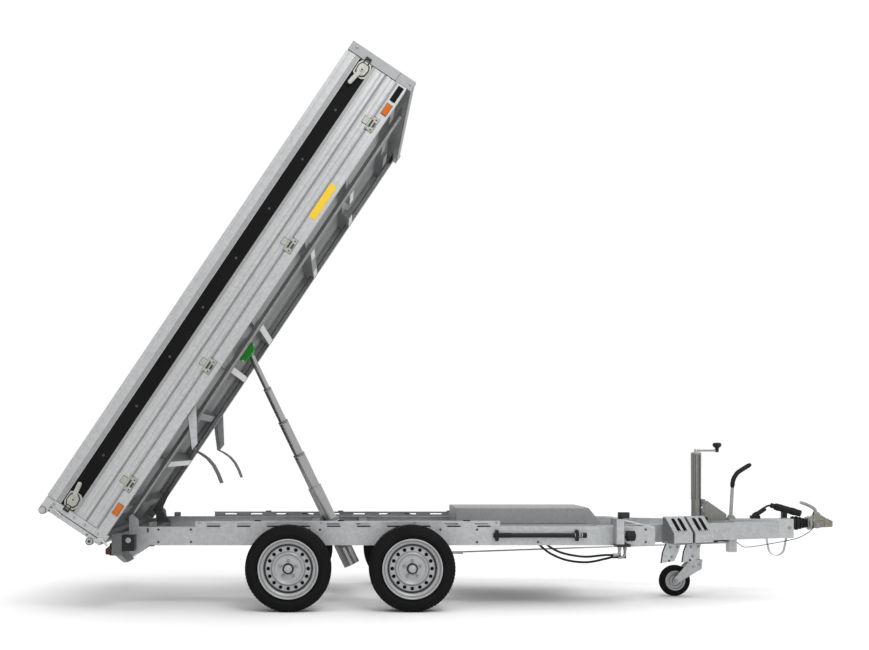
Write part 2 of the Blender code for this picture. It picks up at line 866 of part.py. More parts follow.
def bed_deck(bed):
    """The deck plate with its crossmembers below, which are cut out above the hydraulic cover."""
    top = RIM_TOP
    bottom = top - DECK_THICK
    half = RIM_IN_Y - GAP
    rear = SIDE_REAR - POST_DEPTH
    deck = new_object(
        "bed_deck",
        box(rear, SIDE_FRONT - GAP, -half, half, bottom, top),
        "sheet_steel",
        bed,
    )
    w = CROSSMEMBER_WIDTH / 2
    inside = LONGERON_OUT_Y - LONGERON_FLANGE - HINGE_PLATE_PROUD - 0.001
    clear = COVER_HALF + SWING_GAP
    above_cover = COVER_TOP + SWING_GAP - HINGE_Z
    ribs = []
    for a in SHALLOW_STATIONS + DEEP_STATIONS:
        low = LONGERON_BASE if a in DEEP_STATIONS else RIM_BASE
        sides = [(half, RIM_BASE), (inside, RIM_BASE), (inside, low)]
        if HINGE_X + a + w > COVER_REAR - SWING_GAP:
            sides += [(clear, low), (clear, above_cover)]
        line = sides + [(-y, b) for y, b in reversed(sides)]
        top = bottom + DECK_THICK / 2
        ribs.append(prism("yz", [(half, top)] + line + [(-half, top)], a - w, a + w))
    return fuse(deck, gathered(*ribs))


def bed_rim(bed, label, side):
    """The channel along the bed's edge, open inwards, with the rear corner post."""
    rim = new_object(
        f"bed_rim_{label}",
        box(SIDE_REAR, SIDE_FRONT - GAP, *across(side, RIM_IN_Y, BED_HALF), RIM_BASE, RIM_TOP),
        "sheet_steel",
        bed,
    )
    hollow = box(
        SIDE_REAR + BED_WALL,
        SIDE_FRONT + BED_WALL,
        *across(side, RIM_IN_Y - BED_WALL, BED_HALF - BED_WALL),
        RIM_BASE + BED_WALL,
        RIM_TOP - BED_WALL,
    )
    cut(rim, hollow)
    post = box(
        SIDE_REAR - POST_DEPTH,
        SIDE_REAR + BED_WALL / 2,
        *across(side, RIM_IN_Y, BED_HALF),
        POST_BOTTOM,
        SIDE_TOP - 0.004,
    )
    ear = [(SIDE_REAR - 0.004, GATE_HINGE_B - 0.030), (SIDE_REAR - 0.004, SIDE_TOP - 0.004)]
    for k in range(9):
        turn = math.radians(90 + 180 * k / 8)
        ear.append(
            (
                GATE_HINGE_A + GATE_EAR_RADIUS * math.cos(turn),
                GATE_HINGE_B + GATE_EAR_RADIUS * math.sin(turn),
            )
        )
    ear_in, ear_out = BED_HALF + GAP, BED_HALF + GAP + GATE_EAR_THICK
    root = box(
        SIDE_REAR - POST_DEPTH + 0.004,
        SIDE_REAR - 0.004,
        *across(side, BED_HALF - 0.004, ear_out),
        GATE_HINGE_B - 0.030,
        SIDE_TOP - 0.004,
    )
    fuse(rim, post, prism("xz", ear, *across(side, ear_in, ear_out)), root)
    reach = across(side, ear_in - GAP, ear_out + 0.01)
    hole = rod("y", (GATE_HINGE_A, 0, GATE_HINGE_B), GATE_PIN_RADIUS + PIN_PLAY, *reach, COARSE)
    return cut(rim, hole)


def longeron(bed, label, side):
    """A channel under the deck with a sloped nose and, at the rear, the hinge plate."""
    top = RIM_BASE - GAP
    outline = (
        (LONGERON_REAR, LONGERON_BASE),
        (LONGERON_NOSE, LONGERON_BASE),
        (LONGERON_FRONT, top),
        (-LONGERON_REAR, top),
    )
    wall = LONGERON_WALL
    hollow = (
        (LONGERON_REAR, LONGERON_BASE + wall),
        (LONGERON_NOSE - wall, LONGERON_BASE + wall),
        (LONGERON_FRONT - 4 * wall, top - wall),
        (3 * wall - LONGERON_REAR, top - wall),
    )
    inner = LONGERON_OUT_Y - LONGERON_FLANGE
    beam = new_object(
        f"longeron_{label}",
        prism("xz", outline, *across(side, inner, LONGERON_OUT_Y)),
        "galvanised",
        bed,
    )
    cut(beam, prism("xz", hollow, *across(side, inner - wall, LONGERON_OUT_Y - wall)))
    plate = (
        (-0.026, top),
        (-0.026, -0.008),
        (-0.014, -0.024),
        (0.014, -0.024),
        (0.040, -0.008),
        (HINGE_PLATE_FRONT, LONGERON_BASE + wall / 2),
        (HINGE_PLATE_FRONT, top),
    )
    plate_in = inner - HINGE_PLATE_PROUD
    fuse(beam, prism("xz", plate, *across(side, plate_in, plate_in + HINGE_PLATE)))
    reach = across(side, plate_in - 0.010, plate_in + HINGE_PLATE + 0.010)
    return cut(beam, rod("y", (0, 0, 0), HINGE_PIN_RADIUS + PIN_PLAY, *reach))


def headboard(bed):
    """The fixed front wall between its two posts."""
    wall = new_object(
        "headboard",
        box(SIDE_FRONT, BED_FRONT, -BED_HALF, BED_HALF, HEADBOARD_BOTTOM, SIDE_TOP - 0.004),
        "sheet_steel",
        bed,
    )
    shell = 0.022
    return cut(
        wall,
        box(
            SIDE_FRONT + shell,
            BED_FRONT + 0.01,
            0.06 - BED_HALF,
            BED_HALF - 0.06,
            HEADBOARD_BOTTOM + 0.040,
            SIDE_TOP - 0.044,
        ),
    )


def tailgate(bed):
    """The rear wall, hung from its top pins."""
    hinge = empty("tailgate_hinge", bed, (GATE_HINGE_A, 0, GATE_HINGE_B))
    rear = BED_REAR - GATE_HINGE_A
    front = SIDE_REAR - POST_DEPTH - SWING_GAP - GATE_HINGE_A
    top = SIDE_TOP - GATE_HINGE_B
    outline = (
        (rear, GATE_BOTTOM - GATE_HINGE_B),
        (front, GATE_BOTTOM - GATE_HINGE_B),
        (front, 0.005),
        (front - 0.011, top),
        (rear, top),
    )
    gate = new_object(
        "tailgate", prism("xz", outline, -BED_HALF, BED_HALF), "sheet_steel", hinge
    )
    lower = GATE_LOWER_B - GATE_HINGE_B
    for label, side in SIDES:
        inner, outer = BED_HALF - GATE_BOSS_LENGTH, BED_HALF + GATE_EAR_THICK + 0.008
        boss = across(side, inner, BED_HALF)
        fuse(
            gate,
            rod("y", (0, 0, 0), GATE_EAR_RADIUS, *boss, COARSE),
            rod("y", (0, 0, lower), GATE_EAR_RADIUS, *across(side, inner, BED_HALF + 0.006), COARSE),
            rod("y", (0, 0, 0), GATE_PIN_RADIUS, *across(side, inner + 0.010, outer), COARSE),
        )


def side_board(bed, label, side):
    """A drop side with a recess for its black strip and a pressed groove, and the strip."""
    y_hinge = BED_HALF + SIDE_HINGE_OUT
    hinge = empty(f"side_hinge_{label}", bed, (0, side * y_hinge, SIDE_HINGE_B))
    low = RIM_TOP + GAP - SIDE_HINGE_B
    high = SIDE_TOP - SIDE_HINGE_B
    out = -SIDE_HINGE_OUT
    board = new_object(
        f"side_board_{label}",
        box(
            SIDE_REAR + SWING_GAP,
            SIDE_FRONT - SWING_GAP,
            *across(side, out - SIDE_THICK, out),
            low,
            high,
        ),
        "sheet_steel",
        hinge,
    )
    middle = PRESSED_GROOVE_B - SIDE_HINGE_B
    cut(
        board,
        box(
            SIDE_REAR - 0.01,
            SIDE_FRONT + 0.01,
            *across(side, out - GROOVE_DEPTH, out + 0.01),
            STRIPE_LOW - SIDE_HINGE_B,
            STRIPE_HIGH - SIDE_HINGE_B,
        ),
        box(
            SIDE_REAR + 0.030,
            SIDE_FRONT - 0.030,
            *across(side, out - GROOVE_DEPTH, out + 0.01),
            middle - PRESSED_GROOVE_HEIGHT / 2,
            middle + PRESSED_GROOVE_HEIGHT / 2,
        ),
    )
    new_object(
        f"side_strip_{label}",
        box(
            SIDE_REAR + SWING_GAP,
            SIDE_FRONT - SWING_GAP,
            *across(side, out - GROOVE_DEPTH + GAP, out - GROOVE_DEPTH + GAP + STRIPE_THICK),
            STRIPE_LOW - SIDE_HINGE_B + GAP,
            STRIPE_HIGH - SIDE_HINGE_B - GAP,
        ),
        "black_plastic",
        hinge,
    )


def mudflap(bed, label, side):
    """A bent sheet behind the rear wheel, with the flanges that hang it from the bed."""
    bend_a, bend_b = FLAP_BEND
    middle_line = [(FLAP_STATION - 0.020, RIM_BASE - 0.002), FLAP_BEND]
    for k in range(1, 6):
        t = k / 5
        sag = FLAP_SAG * math.sin(math.pi * t)
        middle_line.append((bend_a - FLAP_SWEEP * t + sag, bend_b - FLAP_DROP * t))
    width = across(side, WHEEL_IN_Y, RIM_IN_Y - 0.004)
    flap = new_object(
        f"mudflap_{label}", prism("xz", strip(middle_line, 0.004), *width), "sheet_steel", bed
    )
    flange = (
        (FLAP_STATION - 0.020, RIM_BASE - GAP),
        FLAP_BEND,
        (bend_a + FLAP_HANGER, bend_b - 0.004),
        (FLAP_STATION + 0.025, RIM_BASE - GAP),
    )
    tab = box(FLAP_STATION - 0.030, FLAP_STATION + 0.030, *width, RIM_BASE - 0.004, RIM_BASE - GAP)
    hanger = prism("xz", flange, *across(side, RIM_IN_Y - 0.008, RIM_IN_Y - 0.004))
    return fuse(flap, hanger, tab)


def ball_seat(bed):
    """The cup under the deck that the cylinder's ball pushes on."""
    base = SEAT_B + BALL_RADIUS + GAP
    seat = new_object(
        "ball_seat",
        box(
            SEAT_A - SEAT_HALF_LENGTH,
            SEAT_A + SEAT_HALF_LENGTH,
            -SEAT_HALF_WIDTH,
            SEAT_HALF_WIDTH,
            base,
            RIM_TOP - DECK_THICK - GAP,
        ),
        "green_paint",
        bed,
    )
    return seat


# Cylinder

def cylinder(trailer):
    """The barrel on its trunnion, and its stages drawn out to the ball."""
    trunnion = empty("trunnion", trailer, (TRUNNION_X, 0, TRUNNION_Z), RAISED_LEAN)
    barrel = new_object(
        "cylinder_barrel",
        turned(
            "z",
            (0, 0, 0),
            (
                (0, -BARREL_BELOW),
                (BARREL_RADIUS, -BARREL_BELOW),
                (BARREL_RADIUS, BARREL_ABOVE),
                (BARREL_BORE, BARREL_ABOVE),
                (BARREL_BORE, 0.012 - BARREL_BELOW),
                (0, 0.012 - BARREL_BELOW),
            ),
        ),
        "black_steel",
        trunnion,
        smooth=True,
    )
    pins = [
        rod("y", (0, 0, 0), TRUNNION_RADIUS, *across(side, BARREL_RADIUS - 0.006, CARRIER_Y + CARRIER_WALL))
        for label, side in SIDES
    ]
    fuse(barrel, gathered(*pins))
    parent = trunnion
    last = len(STAGE_RADII)
    for k, radius in enumerate(STAGE_RADII, start=1):
        top = BARREL_ABOVE + k * STAGE_STEP + k * STAGE_STROKE
        foot = 0.014 + 0.002 * k - BARREL_BELOW + k * STAGE_STROKE
        stage = empty(f"stage_{k}_slide", parent)
        if k < last:
            bore = STAGE_RADII[k] + STAGE_PLAY
            bm = tube("z", (0, 0, 0), radius, bore, foot, top)
        else:
            bm = rod("z", (0, 0, 0), radius, foot, top)
        obj = new_object(f"cylinder_stage_{k}", bm, "chrome_rod", stage, smooth=True)
        if k == last:
            steps = 6
            ball = [(0, -BALL_RADIUS)]
            for j in range(1, steps):
                turn = math.pi * j / steps - math.pi / 2
                ball.append((BALL_RADIUS * math.cos(turn), BALL_RADIUS * math.sin(turn)))
            ball.append((0, BALL_RADIUS))
            fuse(
                obj,
                turned("z", (0, 0, RAISED_REACH), ball),
                rod("z", (0, 0, 0), 0.010, top - 0.004, RAISED_REACH),
            )
        parent = stage


# Front of the trailer

def hydraulic_cover(trailer):
    """The sheet cover over the pump and tank between the rails."""
    outline = (
        (COVER_REAR, COVER_BOTTOM),
        (COVER_TOE, COVER_BOTTOM),
        (COVER_TOE, COVER_BOTTOM + 0.020),
        (COVER_FRONT, COVER_TOP),
        (COVER_REAR, COVER_TOP),
    )
    wall = 0.003
    inside = (
        (COVER_REAR + wall, COVER_BOTTOM - wall),
        (COVER_TOE - wall, COVER_BOTTOM - wall),
        (COVER_TOE - wall, COVER_BOTTOM + 0.020 - wall),
        (COVER_FRONT - wall, COVER_TOP - wall),
        (COVER_REAR + wall, COVER_TOP - wall),
    )
    cover = new_object(
        "hydraulic_cover",
        prism("xz", outline, -COVER_HALF, COVER_HALF),
        "sheet_steel",
        trailer,
    )
    return cut(cover, prism("xz", inside, wall - COVER_HALF, COVER_HALF - wall))


def drawbar_leg(trailer, label, side):
    """One leg of the vee, from inside a rail to the side of the nose."""
    nose = NOSE_HALF + GAP
    inner_end = LEG_REAR_X + (nose + LEG_WIDTH - LEG_REAR_Y) / LEG_SLOPE
    outer_end = LEG_REAR_X + (nose - LEG_REAR_Y) / LEG_SLOPE
    outline = (
        (LEG_REAR_X, LEG_REAR_Y),
        (LEG_REAR_X, LEG_REAR_Y - LEG_WIDTH),
        (inner_end, nose),
        (outer_end, nose),
    )
    new_object(
        f"drawbar_leg_{label}",
        prism("xy", [(x, side * y) for x, y in outline], LEG_BOTTOM, LEG_TOP),
        "galvanised",
        trailer,
    )


def drawbar_nose(trailer):
    """The coupling's housing between the legs, with the steel loop under it."""
    nose = new_object(
        "drawbar_nose",
        box(NOSE_REAR, NOSE_FRONT, -NOSE_HALF, NOSE_HALF, NOSE_BOTTOM, NOSE_TOP),
        "galvanised",
        trailer,
    )
    bore = rod("x", (0, 0, SHAFT_Z), SHAFT_RADIUS + PIN_PLAY, NOSE_FRONT - 0.10, NOSE_FRONT + 0.01)
    cut(nose, bore)
    line = [(LOOP_X - LOOP_HALF, NOSE_BOTTOM + 0.003)]
    for k in range(9):
        turn = math.pi + math.pi * k / 8
        line.append(
            (
                LOOP_X + 0.8 * LOOP_HALF * math.cos(turn),
                LOOP_BOTTOM + 0.8 * LOOP_HALF * (1 + math.sin(turn)),
            )
        )
    line.append((LOOP_X + LOOP_HALF, NOSE_BOTTOM + 0.003))
    fuse(nose, prism("xz", strip(line, 0.004), -LOOP_WIDTH / 2, LOOP_WIDTH / 2))


def coupling(trailer):
    """The draw shaft, the rubber gaiter round it and the ball coupling with its handle."""
    gaiter_front = NOSE_FRONT + GAITER_LENGTH
    head = new_object(
        "coupling_head",
        rod("x", (0, 0, SHAFT_Z), SHAFT_RADIUS, NOSE_FRONT - 0.09, gaiter_front + 0.020),
        "zinc",
        trailer,
    )
    body = (
        (gaiter_front + GAP, SHAFT_Z - 0.030),
        (COUPLING_TIP, SHAFT_Z - 0.024),
        (COUPLING_TIP, SHAFT_Z + 0.020),
        (COUPLING_TIP - 0.045, SHAFT_Z + 0.036),
        (COUPLING_TIP - 0.075, SHAFT_Z + 0.054),
        (COUPLING_TIP - 0.115, SHAFT_Z + 0.054),
        (gaiter_front + GAP, SHAFT_Z + 0.040),
    )
    grip = strip(
        (
            (COUPLING_TIP - 0.100, SHAFT_Z + 0.050),
            (COUPLING_TIP - 0.104, SHAFT_Z + 0.085),
            (COUPLING_TIP - 0.135, SHAFT_Z + 0.112),
            (COUPLING_TIP - 0.205, SHAFT_Z + 0.140),
        ),
        0.012,
    )
    fuse(head, prism("xz", body, -0.034, 0.034), prism("xz", grip, -0.014, 0.014))
    socket = turned(
        "z",
        (COUPLING_TIP - 0.040, 0, SHAFT_Z),
        ((0, -0.05), (0.0265, -0.05), (0.0265, -0.004), (0.018, 0.014), (0, 0.018)),
    )
    cut(head, socket)
    folds = 6
    pitch = (GAITER_LENGTH - GAP * 2) / folds
    start = NOSE_FRONT + GAP
    profile = [(SHAFT_RADIUS + GAP * 4, start)]
    for k in range(folds):
        profile.append((GAITER_RADIUS - 0.010, start + k * pitch))
        profile.append((GAITER_RADIUS, start + (k + 0.5) * pitch))
    profile.append((GAITER_RADIUS - 0.010, start + folds * pitch))
    profile.append((SHAFT_RADIUS + GAP * 4, start + folds * pitch))
    new_object(
        "gaiter", turned("x", (0, 0, SHAFT_Z), profile, 16), "rubber", trailer, smooth=True
    )


def handbrake(trailer):
    """The hand brake lever standing on the nose."""
    base = NOSE_TOP + GAP
    lever = new_object(
        "handbrake_lever",
        box(LEVER_X - 0.022, LEVER_X + 0.030, -0.022, 0.022, base, base + 0.018),
        "galvanised",
        trailer,
    )
    shank_top = (LEVER_X + 0.012, 0.7325)
    shank = strip(((LEVER_X, base + 0.010), shank_top), 0.022)
    grip_line = [
        (LEVER_X + 0.011, 0.728),
        (LEVER_X + 0.022, 0.790),
        (LEVER_X + 0.044, 0.828),
        (LEVER_X + 0.078, 0.854),
        (LEVER_X + 0.130, 0.882),
    ]
    fuse(
        lever,
        prism("xz", shank, -0.005, 0.005),
        prism("xz", strip(grip_line, 0.030), -0.014, 0.014),
    )


def jack(trailer):
    """The jack: its outer tube with crank and mount, the inner tube, the fork and the wheel."""
    tube_part = new_object(
        "jack_tube",
        turned(
            "z",
            (JACK_X, 0, 0),
            (
                (JACK_TUBE_BORE, JACK_TUBE_BOTTOM),
                (JACK_TUBE_RADIUS, JACK_TUBE_BOTTOM),
                (JACK_TUBE_RADIUS, JACK_TUBE_TOP),
                (0, JACK_TUBE_TOP),
                (0, JACK_TUBE_TOP - 0.010),
                (JACK_TUBE_BORE, JACK_TUBE_TOP - 0.010),
            ),
        ),
        "galvanised",
        trailer,
    )
    mount_rear = JACK_X + JACK_TUBE_RADIUS - 0.004
    mount_base = LEG_TOP + GAP
    plate_front = NOSE_REAR - 0.010
    inset = 0.010
    plate = (
        (mount_rear, inset - leg_y(mount_rear)),
        (plate_front, inset - leg_y(plate_front)),
        (plate_front, leg_y(plate_front) - inset),
        (mount_rear, leg_y(mount_rear) - inset),
    )
    gusset = (
        (mount_rear, mount_base + 0.003),
        (plate_front, mount_base + 0.003),
        (plate_front, mount_base + 0.045),
        (mount_rear + 0.040, JACK_MOUNT_TOP),
        (mount_rear, JACK_MOUNT_TOP),
    )
    crank_z = JACK_TUBE_TOP + 0.017
    knob_x = JACK_X + CRANK_LENGTH
    knob = (
        (0, 0.0),
        (0.010, 0.0),
        (0.012, 0.020),
        (0.026, 0.034),
        (0.028, 0.048),
        (0.018, 0.056),
        (0, 0.056),
    )
    fuse(
        tube_part,
        prism("xy", plate, mount_base, mount_base + 0.006),
        prism("xz", gusset, -0.026, 0.026),
        rod("z", (JACK_X, 0, 0), 0.009, JACK_TUBE_TOP - 0.005, crank_z + 0.008, 12),
        bar((JACK_X, 0, crank_z), (knob_x, 0, crank_z), 0.006, 10),
        turned("z", (knob_x, 0, crank_z - 0.004), knob, 12),
    )
    inner = empty("jack_slide", trailer, (JACK_X, 0, 0))
    new_object(
        "jack_inner_tube",
        rod("z", (0, 0, 0), JACK_INNER_RADIUS, FORK_TOP + 0.012 + GAP, 0.640),
        "chrome_rod",
        inner,
        smooth=True,
    )
    swivel = empty("jockey_swivel", inner)
    back = JOCKEY_X - JACK_X
    fork = new_object(
        "jockey_fork",
        box(-0.046, 0.032, -FORK_Y - FORK_WALL, FORK_Y + FORK_WALL, FORK_TOP, FORK_TOP + 0.012),
        "galvanised",
        swivel,
    )
    cheek = [(0.032, FORK_TOP + 0.012), (-0.046, FORK_TOP + 0.012)]
    for k in range(7):
        turn = math.radians(140) + math.radians(180) * k / 6
        cheek.append((back + 0.020 * math.cos(turn), JOCKEY_RADIUS + 0.020 * math.sin(turn)))
    cheek.append((0.026, FORK_TOP - 0.050))
    for side in (1, -1):
        fuse(fork, prism("xz", cheek, *across(side, FORK_Y, FORK_Y + FORK_WALL)))
    reach = FORK_Y + FORK_WALL + 0.006
    fuse(fork, rod("y", (back, 0, JOCKEY_RADIUS), 0.008, -reach, reach, 16))
    hub = empty("jockey_hub", swivel, (back, 0, JOCKEY_RADIUS))
    half = JOCKEY_WIDTH / 2
    profile = (
        (0.008 + PIN_PLAY, -half),
        (0.018, -half),
        (0.020, -half + 0.014),
        (0.052, -half + 0.014),
        (0.066, -half + 0.003),
        (JOCKEY_RADIUS - 0.004, -half + 0.010),
        (JOCKEY_RADIUS, 0.0),
        (JOCKEY_RADIUS - 0.004, half - 0.010),
        (0.066, half - 0.003),
        (0.052, half - 0.014),
        (0.020, half - 0.014),
        (0.018, half),
        (0.008 + PIN_PLAY, half),
    )
    new_object(
        "jockey_wheel", turned("y", (0, 0, 0), profile), "rubber", hub, smooth=True
    )


def wheel_chocks(trailer):
    """Two folded chocks with slotted faces, hung on the right leg above their plates."""
    turn = math.atan2(-LEG_SLOPE, 1.0)
    for index in range(2):
        start = CHOCK_START + index * CHOCK_PITCH * math.cos(turn)
        frame = empty(f"chock_frame_{index + 1}", trailer, (start, -leg_y(start) - GAP, 0))
        frame.rotation_euler = (0, 0, turn)
        outer = (
            (0.0, CHOCK_BOTTOM),
            (-CHOCK_DEPTH, CHOCK_BOTTOM),
            (-CHOCK_DEPTH, CHOCK_BOTTOM + 0.020),
            (-0.030, CHOCK_TOP),
            (0.0, CHOCK_TOP),
        )
        w = CHOCK_WALL
        inside = (
            (-w, CHOCK_BOTTOM - w),
            (w - CHOCK_DEPTH, CHOCK_BOTTOM - w),
            (w - CHOCK_DEPTH, CHOCK_BOTTOM + 0.018),
            (-0.027, CHOCK_TOP - w),
            (-w, CHOCK_TOP - w),
        )
        chock = new_object(
            f"wheel_chock_{index + 1}",
            prism("yz", outer, 0, CHOCK_LENGTH),
            "galvanised",
            frame,
        )
        cut(chock, prism("yz", inside, w, CHOCK_LENGTH - w))
        slots = []
        for middle in (0.36, 0.64):
            u = CHOCK_LENGTH * middle
            slots.append(
                box(u - 0.012, u + 0.012, -CHOCK_DEPTH, -0.052, CHOCK_BOTTOM + 0.060, CHOCK_TOP - 0.030)
            )
        cut(chock, gathered(*slots))
        plate = (
            (0.002, CHOCK_BOTTOM + w),
            (CHOCK_LENGTH - 0.002, CHOCK_BOTTOM + w),
            (CHOCK_LENGTH - 0.020, CHOCK_PLATE_BOTTOM),
            (0.012, CHOCK_PLATE_BOTTOM),
        )
        fuse(chock, prism("xz", plate, -0.060, -0.056), box(0.002, CHOCK_LENGTH - 0.002, -0.060, -0.002, CHOCK_BOTTOM, CHOCK_BOTTOM + w))


def hand_pump(trailer):
    """The hand pump on the right rail, its lever socket, its elbows and its spare handle."""
    rail_face = -RAIL_OUT_Y - GAP
    pump = new_object(
        "hand_pump",
        box(PUMP_REAR, PUMP_FRONT, -PUMP_OUT_Y, rail_face, PUMP_BOTTOM, PUMP_TOP),
        "black_steel",
        trailer,
    )
    y = -(RAIL_OUT_Y + PUMP_OUT_Y) / 2
    socket_rear, socket_front, socket_bottom, socket_top = PUMP_SOCKET
    valve = (
        (0, PUMP_FRONT - 0.002),
        (0.014, PUMP_FRONT - 0.002),
        (0.014, PUMP_FRONT + 0.020),
        (VALVE_RADIUS, PUMP_FRONT + 0.022),
        (VALVE_RADIUS, VALVE_FRONT - 0.006),
        (0.020, VALVE_FRONT),
        (0, VALVE_FRONT),
    )
    parts = [
        box(*PUMP_BASE, -PUMP_OUT_Y, rail_face, PUMP_BOTTOM - 0.014, PUMP_BOTTOM + 0.002),
        turned("x", (0, y, VALVE_Z), valve, COARSE),
        box(PUMP_FRONT - 0.030, PUMP_FRONT - 0.004, y - 0.012, y + 0.012, PUMP_TOP - 0.004, socket_top),
        box(socket_rear, socket_front, y - 0.024, y + 0.024, socket_bottom + 0.020, socket_top),
    ]
    for elbow_x, elbow_y, elbow_z, tail in HOSE_ELBOWS:
        parts.append(bar((elbow_x, elbow_y, PUMP_BOTTOM + 0.01), (elbow_x, elbow_y, elbow_z), 0.008, 10))
        parts.append(
            bar((elbow_x + 0.006, elbow_y, elbow_z), (elbow_x - tail, elbow_y, elbow_z), 0.008, 10)
        )
    fuse(pump, *parts)
    handle_y = -RAIL_OUT_Y - HANDLE_RADIUS - 0.004
    handle = new_object(
        "pump_handle",
        rod("x", (0, handle_y, HANDLE_Z), HANDLE_RADIUS, HANDLE_REAR, HANDLE_FRONT, 16),
        "black_plastic",
        trailer,
    )
    clips = []
    for x in (HANDLE_REAR + 0.020, HANDLE_FRONT - 0.060):
        clips.append(
            box(x - 0.010, x + 0.010, handle_y - HANDLE_RADIUS - 0.004, rail_face, HANDLE_Z - 0.026, HANDLE_Z + 0.026)
        )
    fuse(handle, gathered(*clips))


def brake_rod(trailer):
    """The rod from the lever under the nose back to the front axle's beam."""
    rear = REAR_AXLE_X + AXLE_SPACING + AXLE_BEAM_LEAD + AXLE_BEAM / 2 + GAP
    lever = new_object(
        "brake_rod",
        box(
            BRAKE_ROD_FRONT_X - 0.036,
            BRAKE_ROD_FRONT_X + 0.016,
            -BRAKE_ROD_Y - 0.008,
            -NOSE_HALF + 0.030,
            BRAKE_BRACKET_BOTTOM,
            LEG_BOTTOM - GAP,
        ),
        "galvanised",
        trailer,
    )
    fuse(
        lever,
        bar(
            (rear, -BRAKE_ROD_Y, BRAKE_ROD_REAR_Z),
            (BRAKE_ROD_FRONT_X - 0.030, -BRAKE_ROD_Y, BRAKE_ROD_FRONT_Z),
            BRAKE_ROD_RADIUS,
            10,
        ),
        box(
            rear,
            rear + 0.190,
            -BRAKE_ROD_Y - 0.018,
            -BRAKE_ROD_Y + 0.018,
            BRAKE_ROD_REAR_Z - 0.006,
            BRAKE_ROD_REAR_Z + 0.010,
        ),
    )


def plug_and_cable(trailer):
    """The lighting plug parked on the nose, with its cable held down to the housing."""
    base = NOSE_TOP + GAP
    plug = new_object(
        "plug_and_cable",
        bar((PLUG_X, 0, base + 0.072), (PLUG_X + 0.160, 0, base + 0.044), 0.022, 16),
        "black_plastic",
        trailer,
    )
    arc = [
        (PLUG_X - 0.065, base + 0.062),
        (PLUG_X - 0.045, base + 0.078),
        (PLUG_X - 0.015, base + 0.086),
        (PLUG_X + 0.010, base + 0.078),
    ]
    parts = [bar((PLUG_X - 0.130, 0, base + 0.022), (PLUG_X - 0.060, 0, base + 0.066), 0.015, 12)]
    for start, end in zip(arc, arc[1:]):
        parts.append(bar((start[0], 0, start[1]), (end[0], 0, end[1]), 0.006, 10))
    parts.append(box(PLUG_X - 0.140, PLUG_X - 0.100, -0.018, 0.018, base, base + 0.030))
    parts.append(box(PLUG_X + 0.050, PLUG_X + 0.080, -0.016, 0.016, base, base + 0.050))
    fuse(plug, *parts)


# Hoses and cables that hang free

def smooth_route(points, spacing):
    """Points every spacing along a smooth curve through the route's own points."""
    knots = [Vector(p) for p in points]
    dense = []
    for i in range(len(knots) - 1):
        before = knots[i - 1] if i else knots[0] * 2 - knots[1]
        after = knots[i + 2] if i + 2 < len(knots) else knots[-1] * 2 - knots[-2]
        a, b = knots[i], knots[i + 1]
        for k in range(24):
            t = k / 24
            dense.append(
                0.5
                * (
                    2 * a
                    + (b - before) * t
                    + (2 * before - 5 * a + 4 * b - after) * t * t
                    + (3 * a - before - 3 * b + after) * t * t * t
                )
            )
    dense.append(knots[-1])
    length = sum((q - p).length for p, q in zip(dense, dense[1:]))
    count = max(int(length / spacing), 2)
    route, walked, target = [dense[0]], 0.0, length / count
    for p, q in zip(dense, dense[1:]):
        step = (q - p).length
        while walked + step >= target and len(route) < count:
            route.append(p.lerp(q, (target - walked) / step))
            target += length / count
        walked += step
    route.append(dense[-1])
    return route


def cord(name, points, diameter, material, trailer):
    """A round cord along a route, as one polyline with closed ends."""
    curve = bpy.data.curves.new(name, "CURVE")
    curve.dimensions = "3D"
    curve.bevel_depth = diameter / 2
    curve.bevel_resolution = 2
    curve.use_fill_caps = True
    route = smooth_route(points, 3 * diameter)
    spline = curve.splines.new("POLY")
    spline.points.add(len(route) - 1)
    for point, place_ in zip(spline.points, route):
        point.co = (*place_, 1.0)
    curve.materials.append(make_material(material))
    obj = bpy.data.objects.new(name, curve)
    bpy.context.scene.collection.objects.link(obj)
    obj.parent = trailer
    return obj


def hydraulic_hoses(trailer):
    """The two hoses that hang from the pump's elbows and go up to the tray."""
    for index, (elbow_x, elbow_y, elbow_z, tail) in enumerate(HOSE_ELBOWS):
        start = (elbow_x - tail - GAP, elbow_y, elbow_z)
        cord(
            f"hydraulic_hose_{index + 1}",
            [start] + list(HOSE_ROUTES[index]),
            HOSE_DIAMETER,
            "rubber",
            trailer,
        )


def breakaway_cable(trailer):
    """The thin safety cable from the brake lever's foot to the coupling."""
    cord("breakaway_cable", BREAKAWAY_ROUTE, BREAKAWAY_DIAMETER, "black_plastic", trailer)


def build():
    clear_scene()
    trailer = empty("trailer", None, (-ORIGIN_X, 0, 0))
    bed = empty("bed_hinge", trailer, (HINGE_X, 0, HINGE_Z), -TILT)
    hinge_crossbeam(trailer)
    lift_cradle(trailer)
    cover_tray(trailer)
    hydraulic_cover(trailer)
    front_crossbeam(trailer)
    lamp_beam(trailer)
    axle(trailer, "axle_rear", REAR_AXLE_X)
    axle(trailer, "axle_front", REAR_AXLE_X + AXLE_SPACING)
    for label, side in SIDES:
        chassis_rail(trailer, label, side)
        drawbar_leg(trailer, label, side)
        wheel(trailer, f"rear_{label}", side, REAR_AXLE_X)
        wheel(trailer, f"front_{label}", side, REAR_AXLE_X + AXLE_SPACING)
        bed_rim(bed, label, side)
        longeron(bed, label, side)
        side_board(bed, label, side)
        mudflap(bed, label, side)
    bed_deck(bed)
    headboard(bed)
    tailgate(bed)
    ball_seat(bed)
    cylinder(trailer)
    drawbar_nose(trailer)
    coupling(trailer)
    handbrake(trailer)
    jack(trailer)
    wheel_chocks(trailer)
    hand_pump(trailer)
    brake_rod(trailer)
    plug_and_cable(trailer)
    hydraulic_hoses(trailer)
    breakaway_cable(trailer)


build()
